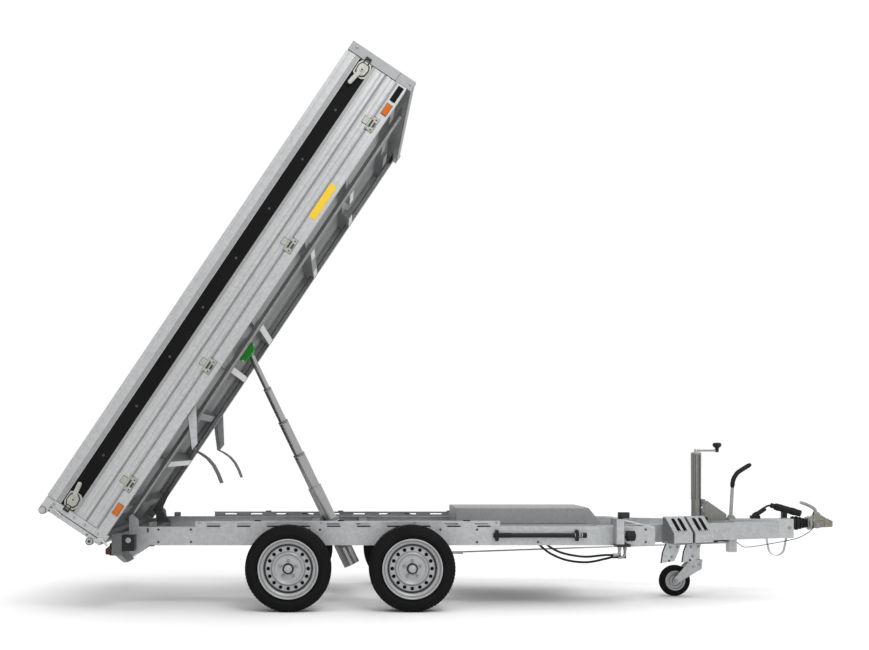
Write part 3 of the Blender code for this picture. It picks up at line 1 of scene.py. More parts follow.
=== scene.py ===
"""The looks of the tipping trailer: finishes, cords, camera and the small forms on its solids.

The frame's own axes are used throughout.  Pieces of the chassis are drawn with x as the
station from a datum, and pieces of the bed as (a along it, y across, b up) from a datum at the
same station, DATUM_Z above the ground; the matrices CHASSIS and BED put them in the frame.
"""

import math
import json

import bmesh
import bpy
from mathutils import Matrix, Vector

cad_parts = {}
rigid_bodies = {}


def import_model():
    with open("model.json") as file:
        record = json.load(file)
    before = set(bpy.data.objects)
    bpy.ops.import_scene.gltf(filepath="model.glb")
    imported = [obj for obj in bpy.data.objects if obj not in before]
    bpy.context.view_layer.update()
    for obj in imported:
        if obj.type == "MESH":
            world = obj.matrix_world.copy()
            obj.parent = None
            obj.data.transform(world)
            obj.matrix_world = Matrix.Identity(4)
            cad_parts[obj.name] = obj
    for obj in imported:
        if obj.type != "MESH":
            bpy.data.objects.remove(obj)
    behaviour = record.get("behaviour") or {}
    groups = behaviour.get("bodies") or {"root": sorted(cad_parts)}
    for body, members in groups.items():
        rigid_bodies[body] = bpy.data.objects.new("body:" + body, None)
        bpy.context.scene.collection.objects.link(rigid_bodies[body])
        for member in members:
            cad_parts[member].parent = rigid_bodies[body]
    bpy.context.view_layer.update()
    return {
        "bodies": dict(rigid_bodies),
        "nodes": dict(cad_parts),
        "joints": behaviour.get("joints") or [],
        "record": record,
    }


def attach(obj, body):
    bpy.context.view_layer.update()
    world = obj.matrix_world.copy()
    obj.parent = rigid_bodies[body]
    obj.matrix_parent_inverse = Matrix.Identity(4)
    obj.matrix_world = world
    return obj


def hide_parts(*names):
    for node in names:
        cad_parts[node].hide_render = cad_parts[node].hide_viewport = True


# Driving sizes shared with the solids
DATUM_Z = 0.5135
TILT = math.radians(56.1)
BED_HALF = 0.93
SIDE_TOP = 0.586
GATE_HINGE_A = -0.243
GATE_HINGE_B = 0.559
GATE_LOWER_B = 0.223
GATE_EAR_RADIUS = 0.024
COUPLING_TIP = 4.4795
TYRE_RADIUS = 0.2625
TYRE_WIDTH = 0.195
WHEEL_OUT_Y = 0.87
REAR_AXLE_X = 0.862
AXLE_SPACING = 0.752
RIM_LIP_RADIUS = 0.183
RAIL_OUT_Y = 0.6175
RAIL_TOP = 0.504
UPPER_RAIL_TOP = 0.538
SIDE_REAR = -0.156
SIDE_FRONT = 3.058
BED_FRONT = 3.12
SIDE_HINGE_B = 0.232
SIDE_HINGE_OUT = 0.008
GROOVE_B = 0.31
LONGERON_OUT_Y = 0.607
COVER_REAR = 1.934
COVER_NOSE = 2.8
COVER_HALF = 0.24
COVER_TOP = 0.605
COVER_BOTTOM = 0.5
LAMP_BEAM_REAR = -0.199
LAMP_BEAM_FRONT = -0.138
LAMP_BEAM_HALF = 0.872
LAMP_BEAM_BOTTOM = 0.345
TRUNNION = (1.1865, 0.36)
SEAT = (1.2445, 0.143)
SEAT_TOP = 0.218
BARREL_BELOW = 0.163
STAGE_PLAY = 0.0006
BARREL_ABOVE = 0.173
BARREL_RADIUS = 0.055
STAGE_STEP = 0.006
STAGE_STROKE = 0.2385
RAIL_SLOT_FIRST = 0.347
RAIL_SLOT_PITCH = 0.187
RAIL_SLOT_COUNT = 10
LEG_REAR_X = 2.784
LEG_FRONT_X = 4.1
LEG_REAR_Y = 0.5722
LEG_FRONT_Y = 0.062
LEG_BOTTOM = 0.392
LEG_TOP = 0.506
NOSE_FRONT = 4.209
NOSE_HALF = 0.058
NOSE_TOP = 0.521
LEVER_X = 3.806
PLUG_X = 4.1
SHAFT_Z = 0.49
GAITER_LENGTH = 0.105
JACK_X = 3.573
JACK_TUBE_RADIUS = 0.032
JACK_TUBE_TOP = 0.961
CRANK_LENGTH = 0.141
JOCKEY_X = 3.4276
JOCKEY_RADIUS = 0.105
JOCKEY_WIDTH = 0.06
FORK_Y = 0.036
FORK_WALL = 0.006
PUMP_OUT_Y = 0.7
PUMP_TOP = 0.556
HANDLE_REAR = 2.131
HANDLE_FRONT = 2.708
HANDLE_Z = 0.451
HANDLE_RADIUS = 0.014
CHOCK_START = 3.24
CHOCK_LENGTH = 0.14
CHOCK_PITCH = 0.16
CHOCK_LIP = 0.456
CHOCK_TOP = 0.555
CHOCK_BOTTOM = 0.385
CHOCK_DEPTH = 0.13
STAGE_RADII = (0.046, 0.0395, 0.033, 0.0265, 0.02)
BALL_RADIUS = 0.018
BALL_ABOVE = 0.0104

REAR_MOST = GATE_HINGE_A * math.cos(TILT) - GATE_HINGE_B * math.sin(TILT) - GATE_EAR_RADIUS
ORIGIN_X = (REAR_MOST + COUPLING_TIP) / 2
CHASSIS = Matrix.Translation((-ORIGIN_X, 0, 0))
BED = CHASSIS @ Matrix.Translation((0, 0, DATUM_Z)) @ Matrix.Rotation(-TILT, 4, "Y")

# The photograph's camera
CAMERA_STATION = 1.164
CAMERA_DISTANCE = 8.27
CAMERA_HEIGHT = 0.9815
PHOTO_WIDTH = 869
PHOTO_HEIGHT = 650
AXIS_PX = (338, 450)
FOCAL_PX = 1229
SENSOR_MM = 36.0

# The studio: the sky's strength at the horizon and overhead, its lean to the right, the key light
SKY_LOW = 0.42
SKY_HIGH = 1.75
SKY_FROM = 0.02
SKY_LEAN = 0.1
KEY_POWER = 180
FLOOR_REACH = 60.0

# Free cords: diameters and routes as in the solids
HOSE_DIAMETER = 0.014
BREAKAWAY_DIAMETER = 0.005
TRAY_UNDER = 0.4945
HOSE_ROUTES = (
    (
        (2.9047, -0.64, 0.316), (2.88, -0.64, 0.316), (2.86, -0.64, 0.3155), (2.83, -0.636, 0.307),
        (2.72, -0.62, 0.2835), (2.6, -0.6, 0.292), (2.5, -0.574, 0.33), (2.43, -0.552, 0.385),
        (2.384, -0.545, 0.44), (2.375, -0.545, 0.47), (2.375, -0.545, TRAY_UNDER),
    ),
    (
        (2.8647, -0.67, 0.332), (2.84, -0.67, 0.332), (2.82, -0.669, 0.332), (2.79, -0.654, 0.328),
        (2.7, -0.63, 0.318), (2.6, -0.605, 0.33), (2.53, -0.576, 0.352), (2.47, -0.552, 0.392),
        (2.43, -0.544, 0.44), (2.42, -0.543, 0.47), (2.42, -0.543, TRAY_UNDER),
    ),
)
BREAKAWAY_ROUTE = (
    (3.818, -0.062, 0.374), (3.85, -0.064, 0.348), (3.8795, -0.066, 0.334), (3.963, -0.066, 0.341),
    (4.1297, -0.062, 0.37), (4.238, -0.056, 0.394), (4.32, -0.046, 0.436), (4.352, -0.0365, 0.47),
)

SIDES = (("left", 1), ("right", -1))


# Materials

FINISHES = {}


def plug(tree, socket, value):
    """Gives a socket a constant, or links another node's output to it."""
    if isinstance(value, bpy.types.NodeSocket):
        tree.links.new(value, socket)
    else:
        socket.default_value = value


def feed(tree, node, **sockets):
    """Plugs a node's sockets, which are named with _ for a space."""
    for name, value in sockets.items():
        plug(tree, node.inputs[name.replace("_", " ")], value)
    return node


def shade(tree, kind, output, **sockets):
    """The output of a new node whose sockets are plugged."""
    return feed(tree, tree.nodes.new(kind), **sockets).outputs[output]


def colour_mix(tree, factor, low, high):
    mix = tree.nodes.new("ShaderNodeMix")
    mix.data_type = "RGBA"
    return feed(tree, mix, Factor=factor, A=(*low, 1.0), B=(*high, 1.0)).outputs["Result"]


def spread(tree, value, low, high):
    """A value between 0 and 1, stretched to a range."""
    return shade(tree, "ShaderNodeMapRange", "Result", Value=value, To_Min=low, To_Max=high)


def noise(tree, place, scale, detail):
    return shade(tree, "ShaderNodeTexNoise", "Fac", Scale=scale, Detail=detail, Vector=place)


def new_material(name):
    material = bpy.data.materials.new(name)
    material.use_nodes = True
    FINISHES[name] = material
    tree = material.node_tree
    return tree, tree.nodes["Principled BSDF"], shade(tree, "ShaderNodeTexCoord", "Object")


def finish_normal(tree, shader, height, strength, distance, edge):
    """Rounds the shaded edges and adds fine bumps."""
    bump = tree.nodes.new("ShaderNodeBump")
    feed(tree, bump, Strength=strength, Distance=distance, Height=height)
    if edge:
        bevel = tree.nodes.new("ShaderNodeBevel")
        bevel.samples = 4
        feed(tree, bevel, Radius=edge)
        feed(tree, bump, Normal=bevel.outputs["Normal"])
    feed(tree, shader, Normal=bump.outputs["Normal"])


def zinc_coated(name, dark, light, spangle=55.0, metallic=0.75, rough=(0.38, 0.58), edge=0.0015):
    """Galvanised steel: crystals of slightly different greys under a cloudy film."""
    tree, shader, place = new_material(name)
    cells = shade(tree, "ShaderNodeTexVoronoi", "Color", Scale=spangle, Vector=place)
    grey = shade(tree, "ShaderNodeSeparateColor", "Red", Color=cells)
    cloud, fine = noise(tree, place, 2.3, 5.0), noise(tree, place, 38.0, 3.0)
    blend = shade(tree, "ShaderNodeMix", "Result", Factor=0.45, A=cloud, B=grey)
    tone = shade(tree, "ShaderNodeMix", "Result", Factor=0.25, A=blend, B=fine)
    colour, roughness = colour_mix(tree, tone, dark, light), spread(tree, tone, *rough)
    feed(tree, shader, Base_Color=colour, Roughness=roughness, Metallic=metallic)
    finish_normal(tree, shader, fine, 0.12, 0.0015, edge)


def painted(name, colour, rough=0.45, metallic=0.0, variation=0.08, edge=0.0015, grain=160.0, bump=0.05,
            specular=0.5):
    """Paint or moulded plastic with a slightly uneven tone and a fine grain."""
    tree, shader, place = new_material(name)
    cloud = noise(tree, place, 6.0, 4.0)
    low = [c * (1 - variation) for c in colour]
    high = [min(c * (1 + variation) + 0.004, 1.0) for c in colour]
    roughness = spread(tree, cloud, rough - 0.06, rough + 0.08)
    feed(tree, shader, Base_Color=colour_mix(tree, cloud, low, high), Roughness=roughness)
    feed(tree, shader, Metallic=metallic, Specular_IOR_Level=specular)
    finish_normal(tree, shader, noise(tree, place, grain, 2.0), bump, 0.0008, edge)


def ground_rod(name, colour):
    """Ground and chromed steel, with a faint cloud of oil."""
    tree, shader, place = new_material(name)
    marks = noise(tree, place, 9.0, 2.0)
    tone = colour_mix(tree, marks, [c * 0.86 for c in colour], colour)
    feed(tree, shader, Base_Color=tone, Roughness=spread(tree, marks, 0.22, 0.3), Metallic=0.85)


def lens(name, colour):
    """A ribbed plastic lens."""
    tree, shader, place = new_material(name)
    wave = shade(tree, "ShaderNodeTexWave", "Fac", Scale=60.0, Vector=place)
    tone = colour_mix(tree, wave, [c * 0.6 for c in colour], colour)
    feed(tree, shader, Base_Color=tone, Roughness=0.18, Coat_Weight=0.15, Specular_IOR_Level=0.25)
    finish_normal(tree, shader, wave, 0.35, 0.001, 0.001)


def make_materials():
    old, worn = (0.45, 0.65), (0.35, 0.5)
    zinc_coated("galvanised", (0.3, 0.31, 0.32), (0.52, 0.53, 0.54))
    zinc_coated("sheet_steel", (0.35, 0.355, 0.36), (0.52, 0.525, 0.53), 70.0, 0.75, (0.4, 0.55))
    # Dark weathered zinc, also laid as painted shade on the deck's underside and on the chocks' side faces.
    zinc_coated("weathered_and_shaded_zinc", (0.13, 0.133, 0.137), (0.26, 0.265, 0.27), 45.0, 0.6, old)
    # Zinc darkened as painted shade, for the longerons, crossbeams, cradle and the lamp beam's end faces
    # under the bed.
    zinc_coated("shaded_zinc", (0.075, 0.076, 0.078), (0.145, 0.147, 0.15), 45.0, 0.5, old)
    # The cover's duller zinc, also laid as painted shade in dark bands along the drop sides.
    zinc_coated("cover_zinc_and_shade", (0.23, 0.233, 0.237), (0.34, 0.344, 0.348), 60.0, 0.6, (0.42, 0.58))
    # Bright zinc for bright parts, also laid as painted highlights on the boards' ridges, the longerons'
    # edges, the cover's fold and the crossmembers' flanges.
    zinc_coated("bright_zinc_and_highlight", (0.34, 0.34, 0.33), (0.54, 0.54, 0.53), 30.0, 0.85, (0.28, 0.42), 0.001)
    zinc_coated("brass_zinc", (0.12, 0.112, 0.096), (0.34, 0.325, 0.29), 30.0, 0.8, (0.25, 0.4), 0.002)
    zinc_coated("hinge_zinc", (0.29, 0.295, 0.26), (0.45, 0.455, 0.41), 40.0, 0.6, (0.35, 0.48), 0.001)
    # Darker zinc as painted shade in the grooves of the drop sides and of the rim.
    zinc_coated("groove_shade_zinc", (0.17, 0.173, 0.177), (0.26, 0.263, 0.267), 70.0, 0.6, (0.45, 0.6), 0.0)
    ground_rod("chrome_rod", (0.37, 0.37, 0.37))
    painted("tyre", (0.006, 0.006, 0.006), 0.7, 0.0, 0.25, 0.0, 220.0, 0.25, 0.06)
    painted("rubber", (0.009, 0.009, 0.01), 0.55, 0.0, 0.2, 0.0, 240.0, 0.2, 0.16)
    painted("flap_rubber", (0.045, 0.046, 0.048), 0.55, 0.0, 0.2, 0.0, 200.0, 0.2, 0.2)
    painted("black_plastic", (0.009, 0.009, 0.01), 0.45, specular=0.2, variation=0.15)
    painted("rim_silver", (0.35, 0.353, 0.36), 0.38, 0.5, 0.05)
    painted("green_paint", (0.008, 0.3, 0.018), 0.35, 0.0, 0.2)
    painted("black_steel", (0.014, 0.014, 0.015), 0.42, 0.0, 0.2, specular=0.3)
    lens("red_lens", (0.075, 0.004, 0.004))
    lens("amber_lens", (0.62, 0.14, 0.004))
    lens("clear_lens", (0.62, 0.63, 0.64))
    zinc_coated("bolt_grey", (0.2, 0.2, 0.205), (0.36, 0.36, 0.365), 90.0, 0.8, worn, 0.0)
    # Dark zinc: painted shade on bolt heads seen dark, round the hinge plates and the gate pins and in the
    # jack's grooves; also the dark seams.
    zinc_coated("dark_zinc_and_shade", (0.03, 0.03, 0.031), (0.075, 0.075, 0.077), 90.0, 0.5, worn, 0.0)
    zinc_coated("jack_grey", (0.16, 0.161, 0.152), (0.27, 0.271, 0.258), 80.0, 0.6, worn, 0.0)
    painted("plain_patch", (0.5, 0.5, 0.51), 0.3, 0.2, 0.04, 0.0)
    painted("shadow", (0.005, 0.005, 0.005), 0.8, 0.0, 0.1, 0.0, specular=0.03)
    painted("yellow_label", (0.7, 0.46, 0.01), 0.4, 0.0, 0.04, 0.0)
    painted("strip_black", (0.004, 0.004, 0.004), 0.45, 0.0, 0.12, specular=0.06)


# Meshes

SHARP_ANGLE = math.radians(35)

# What keeps a piece's face off the face under it
HAIR = 0.0001
GAP = 0.0002
CLEAR = 0.0003


def place_point(plane, u, v, w):
    """A point of a drawing plane, with w along the plane's normal."""
    if plane == "xz":
        return Vector((u, w, v))
    if plane == "xy":
        return Vector((u, v, w))
    return Vector((w, u, v))


def prism(plane, outline, low, high):
    bm = bmesh.new()
    first = [bm.verts.new(place_point(plane, u, v, low)) for u, v in outline]
    last = [bm.verts.new(place_point(plane, u, v, high)) for u, v in outline]
    bm.faces.new(first)
    bm.faces.new(list(reversed(last)))
    for i in range(len(outline)):
        j = (i + 1) % len(outline)
        bm.faces.new((first[i], last[i], last[j], first[j]))
    bmesh.ops.recalc_face_normals(bm, faces=bm.faces)
    return bm


def box(x0, x1, y0, y1, z0, z1):
    return prism("xy", ((x0, y0), (x1, y0), (x1, y1), (x0, y1)), z0, z1)


def bridge(bm, one, two):
    """The band of faces between two rings of vertices, either of which may be a single one."""
    count = max(len(one), len(two))
    for k in range(count if count > 1 else 0):
        j = (k + 1) % count
        if len(one) == 1:
            bm.faces.new((one[0], two[j], two[k]))
        elif len(two) == 1:
            bm.faces.new((one[k], one[j], two[0]))
        else:
            bm.faces.new((one[k], one[j], two[j], two[k]))


def turned(axis, centre, profile, segments=48, closed=True):
    """A profile of (radius, height) turned round an axis through the centre."""
    bm = bmesh.new()
    rings = []
    for radius, height in profile:
        ring = []
        for k in range(segments if radius > 0 else 1):
            turn = 2 * math.pi * (k + 0.5) / segments
            c, s = radius * math.cos(turn), radius * math.sin(turn)
            offset = {"x": (height, c, s), "y": (s, height, c), "z": (c, s, height)}[axis]
            ring.append(bm.verts.new(Vector(centre) + Vector(offset)))
        rings.append(ring)
    pairs = list(zip(rings, rings[1:]))
    if closed:
        pairs.append((rings[-1], rings[0]))
    for one, two in pairs:
        bridge(bm, one, two)
    bmesh.ops.recalc_face_normals(bm, faces=bm.faces)
    return bm


def rod(axis, centre, radius, low, high, segments=32):
    return turned(axis, centre, ((0, low), (radius, low), (radius, high), (0, high)), segments)


def bar(start, end, radius, segments=20):
    """A round bar between two points."""
    start, end = Vector(start), Vector(end)
    along = end - start
    bm = rod("z", (0, 0, 0), radius, 0.0, along.length, segments)
    turn = Vector((0, 0, 1)).rotation_difference(along.normalized()).to_matrix().to_4x4()
    bmesh.ops.transform(bm, matrix=turn, verts=bm.verts)
    bmesh.ops.translate(bm, vec=start, verts=bm.verts)
    return bm


def bolt(axis, centre, radius, height, sign=1, washer=1.6):
    """A hexagon head on its washer, standing off a face along the axis."""
    head = rod(axis, centre, radius, *across(sign, 0, height), 6)
    plate = rod(axis, centre, radius * washer, *across(sign, 0, height * 0.25), 20)
    return gathered(head, plate)


def gathered(*parts):
    """Several meshes as one."""
    whole = bmesh.new()
    for part in parts:
        mesh = bpy.data.meshes.new("part")
        part.to_mesh(mesh)
        part.free()
        whole.from_mesh(mesh)
        bpy.data.meshes.remove(mesh)
    return whole


def across(side, inner, outer):
    return (inner, outer) if side > 0 else (-outer, -inner)


def turned_out(side, centre, profile, segments=48):
    """A profile of (radius, height) turned round y, its heights to one side."""
    return turned("y", centre, [(r, side * h) for r, h in profile], segments)


def moved(points, *by):
    """The points of an outline or a route, moved."""
    return [tuple(p + d for p, d in zip(point, by)) for point in points]


def mirrored(middle, half):
    """A symmetric outline from its half, given as (distance from the middle, height)."""
    return [(middle - u, v) for u, v in half] + [(middle + u, v) for u, v in reversed(half)]


def piece(name, parts, finish, body="chassis", frame=None, edge=0.0, node=None):
    """A piece that rides on a body, with its sharp edges rounded, in place of a node if one is given."""
    bm = gathered(*parts) if isinstance(parts, list) else parts
    if frame is None:
        frame = BED if body.startswith(("bed", "side_")) else CHASSIS
    bm.transform(frame)
    mesh = bpy.data.meshes.new(name)
    bm.to_mesh(mesh)
    bm.free()
    mesh.materials.append(FINISHES[finish])
    mesh.shade_smooth()
    mesh.set_sharp_from_angle(angle=SHARP_ANGLE)
    obj = bpy.data.objects.new(name, mesh)
    bpy.context.scene.collection.objects.link(obj)
    if edge:
        modifier = obj.modifiers.new("edges", "BEVEL")
        modifier.width = edge
        modifier.segments = 2
        modifier.limit_method = "ANGLE"
        modifier.angle_limit = SHARP_ANGLE
    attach(obj, body)
    if node:
        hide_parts(node)


# Wheels

TREAD_SECTORS = 72
TREAD_STEPS = 4
TREAD_DEPTH = 0.007
TREAD_START = 0.0215
TREAD_CROWN = 0.0045
TREAD_GROOVES = (0.046, 0.079, 0.116, 0.149)
RIM_HOLES = 16
RIM_HOLE_RADIUS = 0.0115
RIM_HOLE_CIRCLE = 0.121
HOLE_SEGMENTS = 24
HOLE_LIP = 0.0008
HOLE_WALL = 0.0045
WHEEL_BOLTS = 5
WHEEL_BOLT_CIRCLE = 0.051
WHEEL_SEGMENTS = 96
TYRE_WALL = (
    (-0.012, 0.03), (0.002, 0.014), (0.005, 0.0115), (0.01, 0.0095), (0.012, 0.011), (0.018, 0.006),
    (0.027, 0.002), (0.03, 0.0008), (0.0315, 0.0022), (0.04, 0.003), (0.05, 0.0055), (0.0515, 0.0045),
    (0.053, 0.007),
)
TYRE_SHOULDER = ((-0.021, 0.0095), (-0.0125, 0.0145), (-0.0065, TREAD_START))


def ring_surface(profile, segments, inward, offset=lambda radius, height, k: 0.0):
    """An open surface turned round y from (radius, depth) pairs, with an inward depth."""
    bm = bmesh.new()
    rings = []
    for radius, height in profile:
        ring = []
        for k in range(segments):
            turn = 2 * math.pi * k / segments
            r = radius - offset(radius, height, k)
            ring.append(bm.verts.new((r * math.cos(turn), inward * height, r * math.sin(turn))))
        rings.append(ring)
    for one, two in zip(rings, rings[1:]):
        bridge(bm, one, two)
    return bm


def tyre_mesh(inward):
    """A tyre with rounded walls, fine rings on them, four grooves and blocks."""
    wall = moved(TYRE_WALL, RIM_LIP_RADIUS, 0) + moved(TYRE_SHOULDER, TYRE_RADIUS, 0)
    steps = {0.026, 0.031, 0.0365}
    for groove in TREAD_GROOVES:
        steps.update(groove + step for step in (-0.0055, -0.0045, 0.0045, 0.0055, 0.0165))
    steps = {s for s in steps if s < TYRE_WIDTH - 0.036}
    steps.update(TYRE_WIDTH - s for s in (0.0365, 0.031, 0.026))
    profile = wall + [
        (TYRE_RADIUS - TREAD_CROWN * (abs(h / TYRE_WIDTH - 0.5) * 2) ** 4, h) for h in sorted(steps)
    ]
    profile += [(r, TYRE_WIDTH - h) for r, h in reversed(wall)]

    def offset(radius, height, k):
        if height < TREAD_START or height > TYRE_WIDTH - TREAD_START or radius < TYRE_RADIUS - TREAD_DEPTH:
            return 0.0
        if any(abs(height - groove) < 0.005 for groove in TREAD_GROOVES):
            return TREAD_DEPTH
        row = sum(height > groove for groove in TREAD_GROOVES)
        if (k + 2 * (row % 2)) % TREAD_STEPS:
            return 0.0
        return TREAD_DEPTH * (0.75 if row in (0, len(TREAD_GROOVES)) else 0.35)

    bm = ring_surface(profile, TREAD_SECTORS * TREAD_STEPS, inward, offset)
    bmesh.ops.recalc_face_normals(bm, faces=bm.faces)
    return bm


def holed_ring(inner, outer, depth_in, depth_out, inward):
    """A flat ring with round holes, each with its own wall."""
    bm = bmesh.new()
    half = math.pi / RIM_HOLES
    middle = (inner + outer) / 2
    for hole in range(RIM_HOLES):
        turn = 2 * half * hole

        def at(radius, angle, extra=0.0):
            share = (radius - inner) / (outer - inner)
            depth = depth_in + (depth_out - depth_in) * share + extra
            return (radius * math.cos(angle), inward * depth, radius * math.sin(angle))

        edge, lip, back = [], [], []
        for k in range(HOLE_SEGMENTS):
            a = 2 * math.pi * k / HOLE_SEGMENTS
            c, s = math.cos(a), math.sin(a)
            big = max(abs(c), abs(s))
            radius = middle + (outer - inner) / 2 * c / big
            edge.append(bm.verts.new(at(radius, turn + half * s / big)))
            hole_r = RIM_HOLE_CIRCLE + RIM_HOLE_RADIUS * c
            swing = turn + RIM_HOLE_RADIUS * s / RIM_HOLE_CIRCLE
            lip.append(bm.verts.new(at(hole_r, swing, HOLE_LIP)))
            back.append(bm.verts.new(at(hole_r, swing, HOLE_WALL)))
        bridge(bm, edge, lip)
        bridge(bm, lip, back)
    bmesh.ops.remove_doubles(bm, verts=bm.verts, dist=1e-6)
    return bm


def rim_mesh(inward):
    """A pressed steel wheel: lip, well, holed disc, raised ring and hub."""
    lip, well = RIM_LIP_RADIUS, RIM_LIP_RADIUS - 0.0126
    outside = (
        (lip - 0.002, 0.0085), (lip, 0.0065), (lip - 0.0005, 0.0045), (lip - 0.003, 0.0032),
        (lip - 0.0065, 0.0036), (lip - 0.0095, 0.006), (lip - 0.012, 0.012), (lip - 0.0145, 0.024),
        (lip - 0.019, 0.03), (lip - 0.024, 0.031), (0.152, 0.036), (0.147, 0.048), (0.1435, 0.055),
        (0.1395, 0.0545), (0.1365, 0.0505),
    )
    inside = (
        (0.1055, 0.0465), (0.1025, 0.0435), (0.0985, 0.0385), (0.094, 0.0365), (0.0895, 0.0375),
        (0.0855, 0.0405), (0.0825, 0.044), (0.078, 0.0455), (0.066, 0.0455), (0.0635, 0.045),
        (0.06, 0.043), (0.036, 0.0425), (0.0335, 0.0405), (0.0325, 0.0385), (0.031, 0.0375),
    )
    back = (
        (well, 0.026), (well, TYRE_WIDTH - 0.024), (well - 0.006, TYRE_WIDTH - 0.024),
        (well - 0.006, 0.064), (0.03, 0.06),
    )
    bm = gathered(
        ring_surface(outside, WHEEL_SEGMENTS, inward),
        ring_surface(inside, WHEEL_SEGMENTS, inward),
        ring_surface(back, WHEEL_SEGMENTS, inward),
        ring_surface(((lip - 0.002, 0.0085), (well, 0.026)), WHEEL_SEGMENTS, inward),
        holed_ring(0.1055, 0.1365, 0.0465, 0.0505, inward),
    )
    bmesh.ops.recalc_face_normals(bm, faces=bm.faces)
    return bm


def hub_cap_mesh(inward):
    profile = (
        (0.0, 0.01), (0.016, 0.0105), (0.0215, 0.013), (0.0245, 0.018), (0.0255, 0.036),
        (0.03, 0.038), (0.03, 0.06), (0.0, 0.06),
    )
    return turned_out(inward, (0, 0, 0), profile)


def hub_ring_mesh(inward):
    """The dark gap and its ring round the hub's cap."""
    profile = ((0.0262, 0.03), (0.032, 0.0295), (0.0345, 0.037), (0.0345, 0.044), (0.0262, 0.044))
    return turned_out(inward, (0, 0, 0), profile)


def wheel_bolts_mesh(inward):
    profile = (
        (0.0, 0.026), (0.0065, 0.0265), (0.0078, 0.0285), (0.0082, 0.0395), (0.0105, 0.0405),
        (0.0115, 0.043), (0.0, 0.0435),
    )
    bolts = []
    for k in range(WHEEL_BOLTS):
        turn = 2 * math.pi * (k + 0.25) / WHEEL_BOLTS
        centre = (WHEEL_BOLT_CIRCLE * math.cos(turn), 0, WHEEL_BOLT_CIRCLE * math.sin(turn))
        bolts.append(turned_out(inward, centre, profile, 6))
    return gathered(*bolts)


def hole_shadow_mesh(inward):
    """A ring of painted shadow just behind the disc, seen through its holes."""
    profile = ((0.1075, 0.0525), (0.1345, 0.056), (0.1345, 0.058), (0.1075, 0.058))
    return turned_out(inward, (0, 0, 0), profile, 64)


def disc_seam_mesh(inward):
    """The dark line where the disc is pressed into the rim."""
    profile = (
        (0.14, 0.0541), (0.1433, 0.0544), (0.1464, 0.0477), (0.149, 0.0415), (0.1494, 0.0418),
        (0.1469, 0.048), (0.1436, 0.055), (0.14, 0.0547),
    )
    return turned_out(inward, (0, 0, 0), profile, WHEEL_SEGMENTS)


def wheels():
    parts = (
        ("tyre", tyre_mesh, "tyre", "rubber", "tyre"),
        ("disc", rim_mesh, "rim_silver", "rim_silver", "rim"),
        ("hub_cap", hub_cap_mesh, "rim_silver", "galvanised", None),
        ("hub_ring", hub_ring_mesh, "black_steel", "black_steel", None),
        ("wheel_bolts", wheel_bolts_mesh, "bolt_grey", "galvanised", None),
        # painted shadow behind the disc's holes
        ("hole_shadow", hole_shadow_mesh, "shadow", "black_steel", None),
        ("disc_seam", disc_seam_mesh, "dark_zinc_and_shade", "black_steel", None),
    )
    for label, side in SIDES:
        for row, hub_x in (("rear", REAR_AXLE_X), ("front", REAR_AXLE_X + AXLE_SPACING)):
            place = CHASSIS @ Matrix.Translation((hub_x, side * WHEEL_OUT_Y, TYRE_RADIUS))
            which = f"{row}_{label}"
            for name, make, finish, slot, node in parts:
                replaced = f"{node}_{which}" if node else None
                piece(f"{name}_{which}", make(-side), finish, f"wheel_{which}", place, 0.0, replaced)


# Trim of the bed

HINGE_STATIONS = (0.177, 1.026, 1.894, 2.765)
HINGE_HALF = 0.046
STRIP_BOLT_FIRST = 0.23
STRIP_BOLT_PITCH = 0.355
STRIP_BOLT_COUNT = 8
STRIP_BOLT_B = 0.44
FACE = BED_HALF


def on_face(side, low, high):
    """A span of y that stands off the bed's side face."""
    return across(side, FACE + low, FACE + high)


def side_plate(side, outline, low, high):
    return prism("xz", outline, *on_face(side, low, high))


def side_box(side, a0, a1, b0, b1, low, high):
    return side_plate(side, ((a0, b0), (a1, b0), (a1, b1), (a0, b1)), low, high)


def side_rod(side, a, b, radius, low, high, segments=32):
    """A round stub that stands off the bed's side face."""
    return rod("y", (a, side * FACE, b), radius, *across(side, low, high), segments)


def side_hinges(label, side):
    """Bottom hinges: a plate and curled lugs on the rim, and a tongue on the board, each outlined in painted
    shade by a dark plate a little larger behind it.
    """
    pin_y = side * (FACE + SIDE_HINGE_OUT)
    fixed, moving, dark, under = [], [], [], []
    for a in HINGE_STATIONS:
        fixed.append(side_box(side, a - HINGE_HALF, a + HINGE_HALF, 0.188, 0.214, 0.003, 0.005))
        reach = HINGE_HALF + 0.0025
        # Painted shade: a dark plate behind the hinge plate, showing as its outline.
        dark.append(side_box(side, a - reach, a + reach, 0.1855, 0.23, 0.001, 0.0031))
        for lug in (-1, 1):
            centre = a + lug * (HINGE_HALF - 0.012)
            fixed.append(rod("x", (centre, pin_y, SIDE_HINGE_B), 0.0075, -0.01, 0.01, 20))
            fixed.append(side_box(side, centre - 0.01, centre + 0.01, 0.212, 0.23, 0.003, 0.0058))
            dark.append(side_rod(side, centre, 0.201, 0.0052, 0.0048, 0.008, 6))
        moving.append(rod("x", (a, pin_y, SIDE_HINGE_B), 0.0072, -0.0225, 0.0225, 20))
        moving.append(side_box(side, a - 0.021, a + 0.021, 0.2385, 0.272, 0.0032, 0.0056))
        # Painted shade: a dark pad behind the tongue, showing as its outline.
        under.append(side_box(side, a - 0.0235, a + 0.0235, 0.24, 0.2745, 0.0008, 0.0033))
        dark.append(side_box(side, a - 0.017, a + 0.017, 0.192, 0.206, 0.0046, 0.0056))
    piece(f"hinge_plates_{label}", fixed, "hinge_zinc", "bed", edge=0.0006)
    piece(f"hinge_marks_and_shadows_{label}", dark, "dark_zinc_and_shade", "bed")
    piece(f"hinge_tongues_{label}", moving, "hinge_zinc", f"side_{label}", edge=0.0006)
    piece(f"hinge_tongue_shadows_{label}", under, "dark_zinc_and_shade", f"side_{label}")


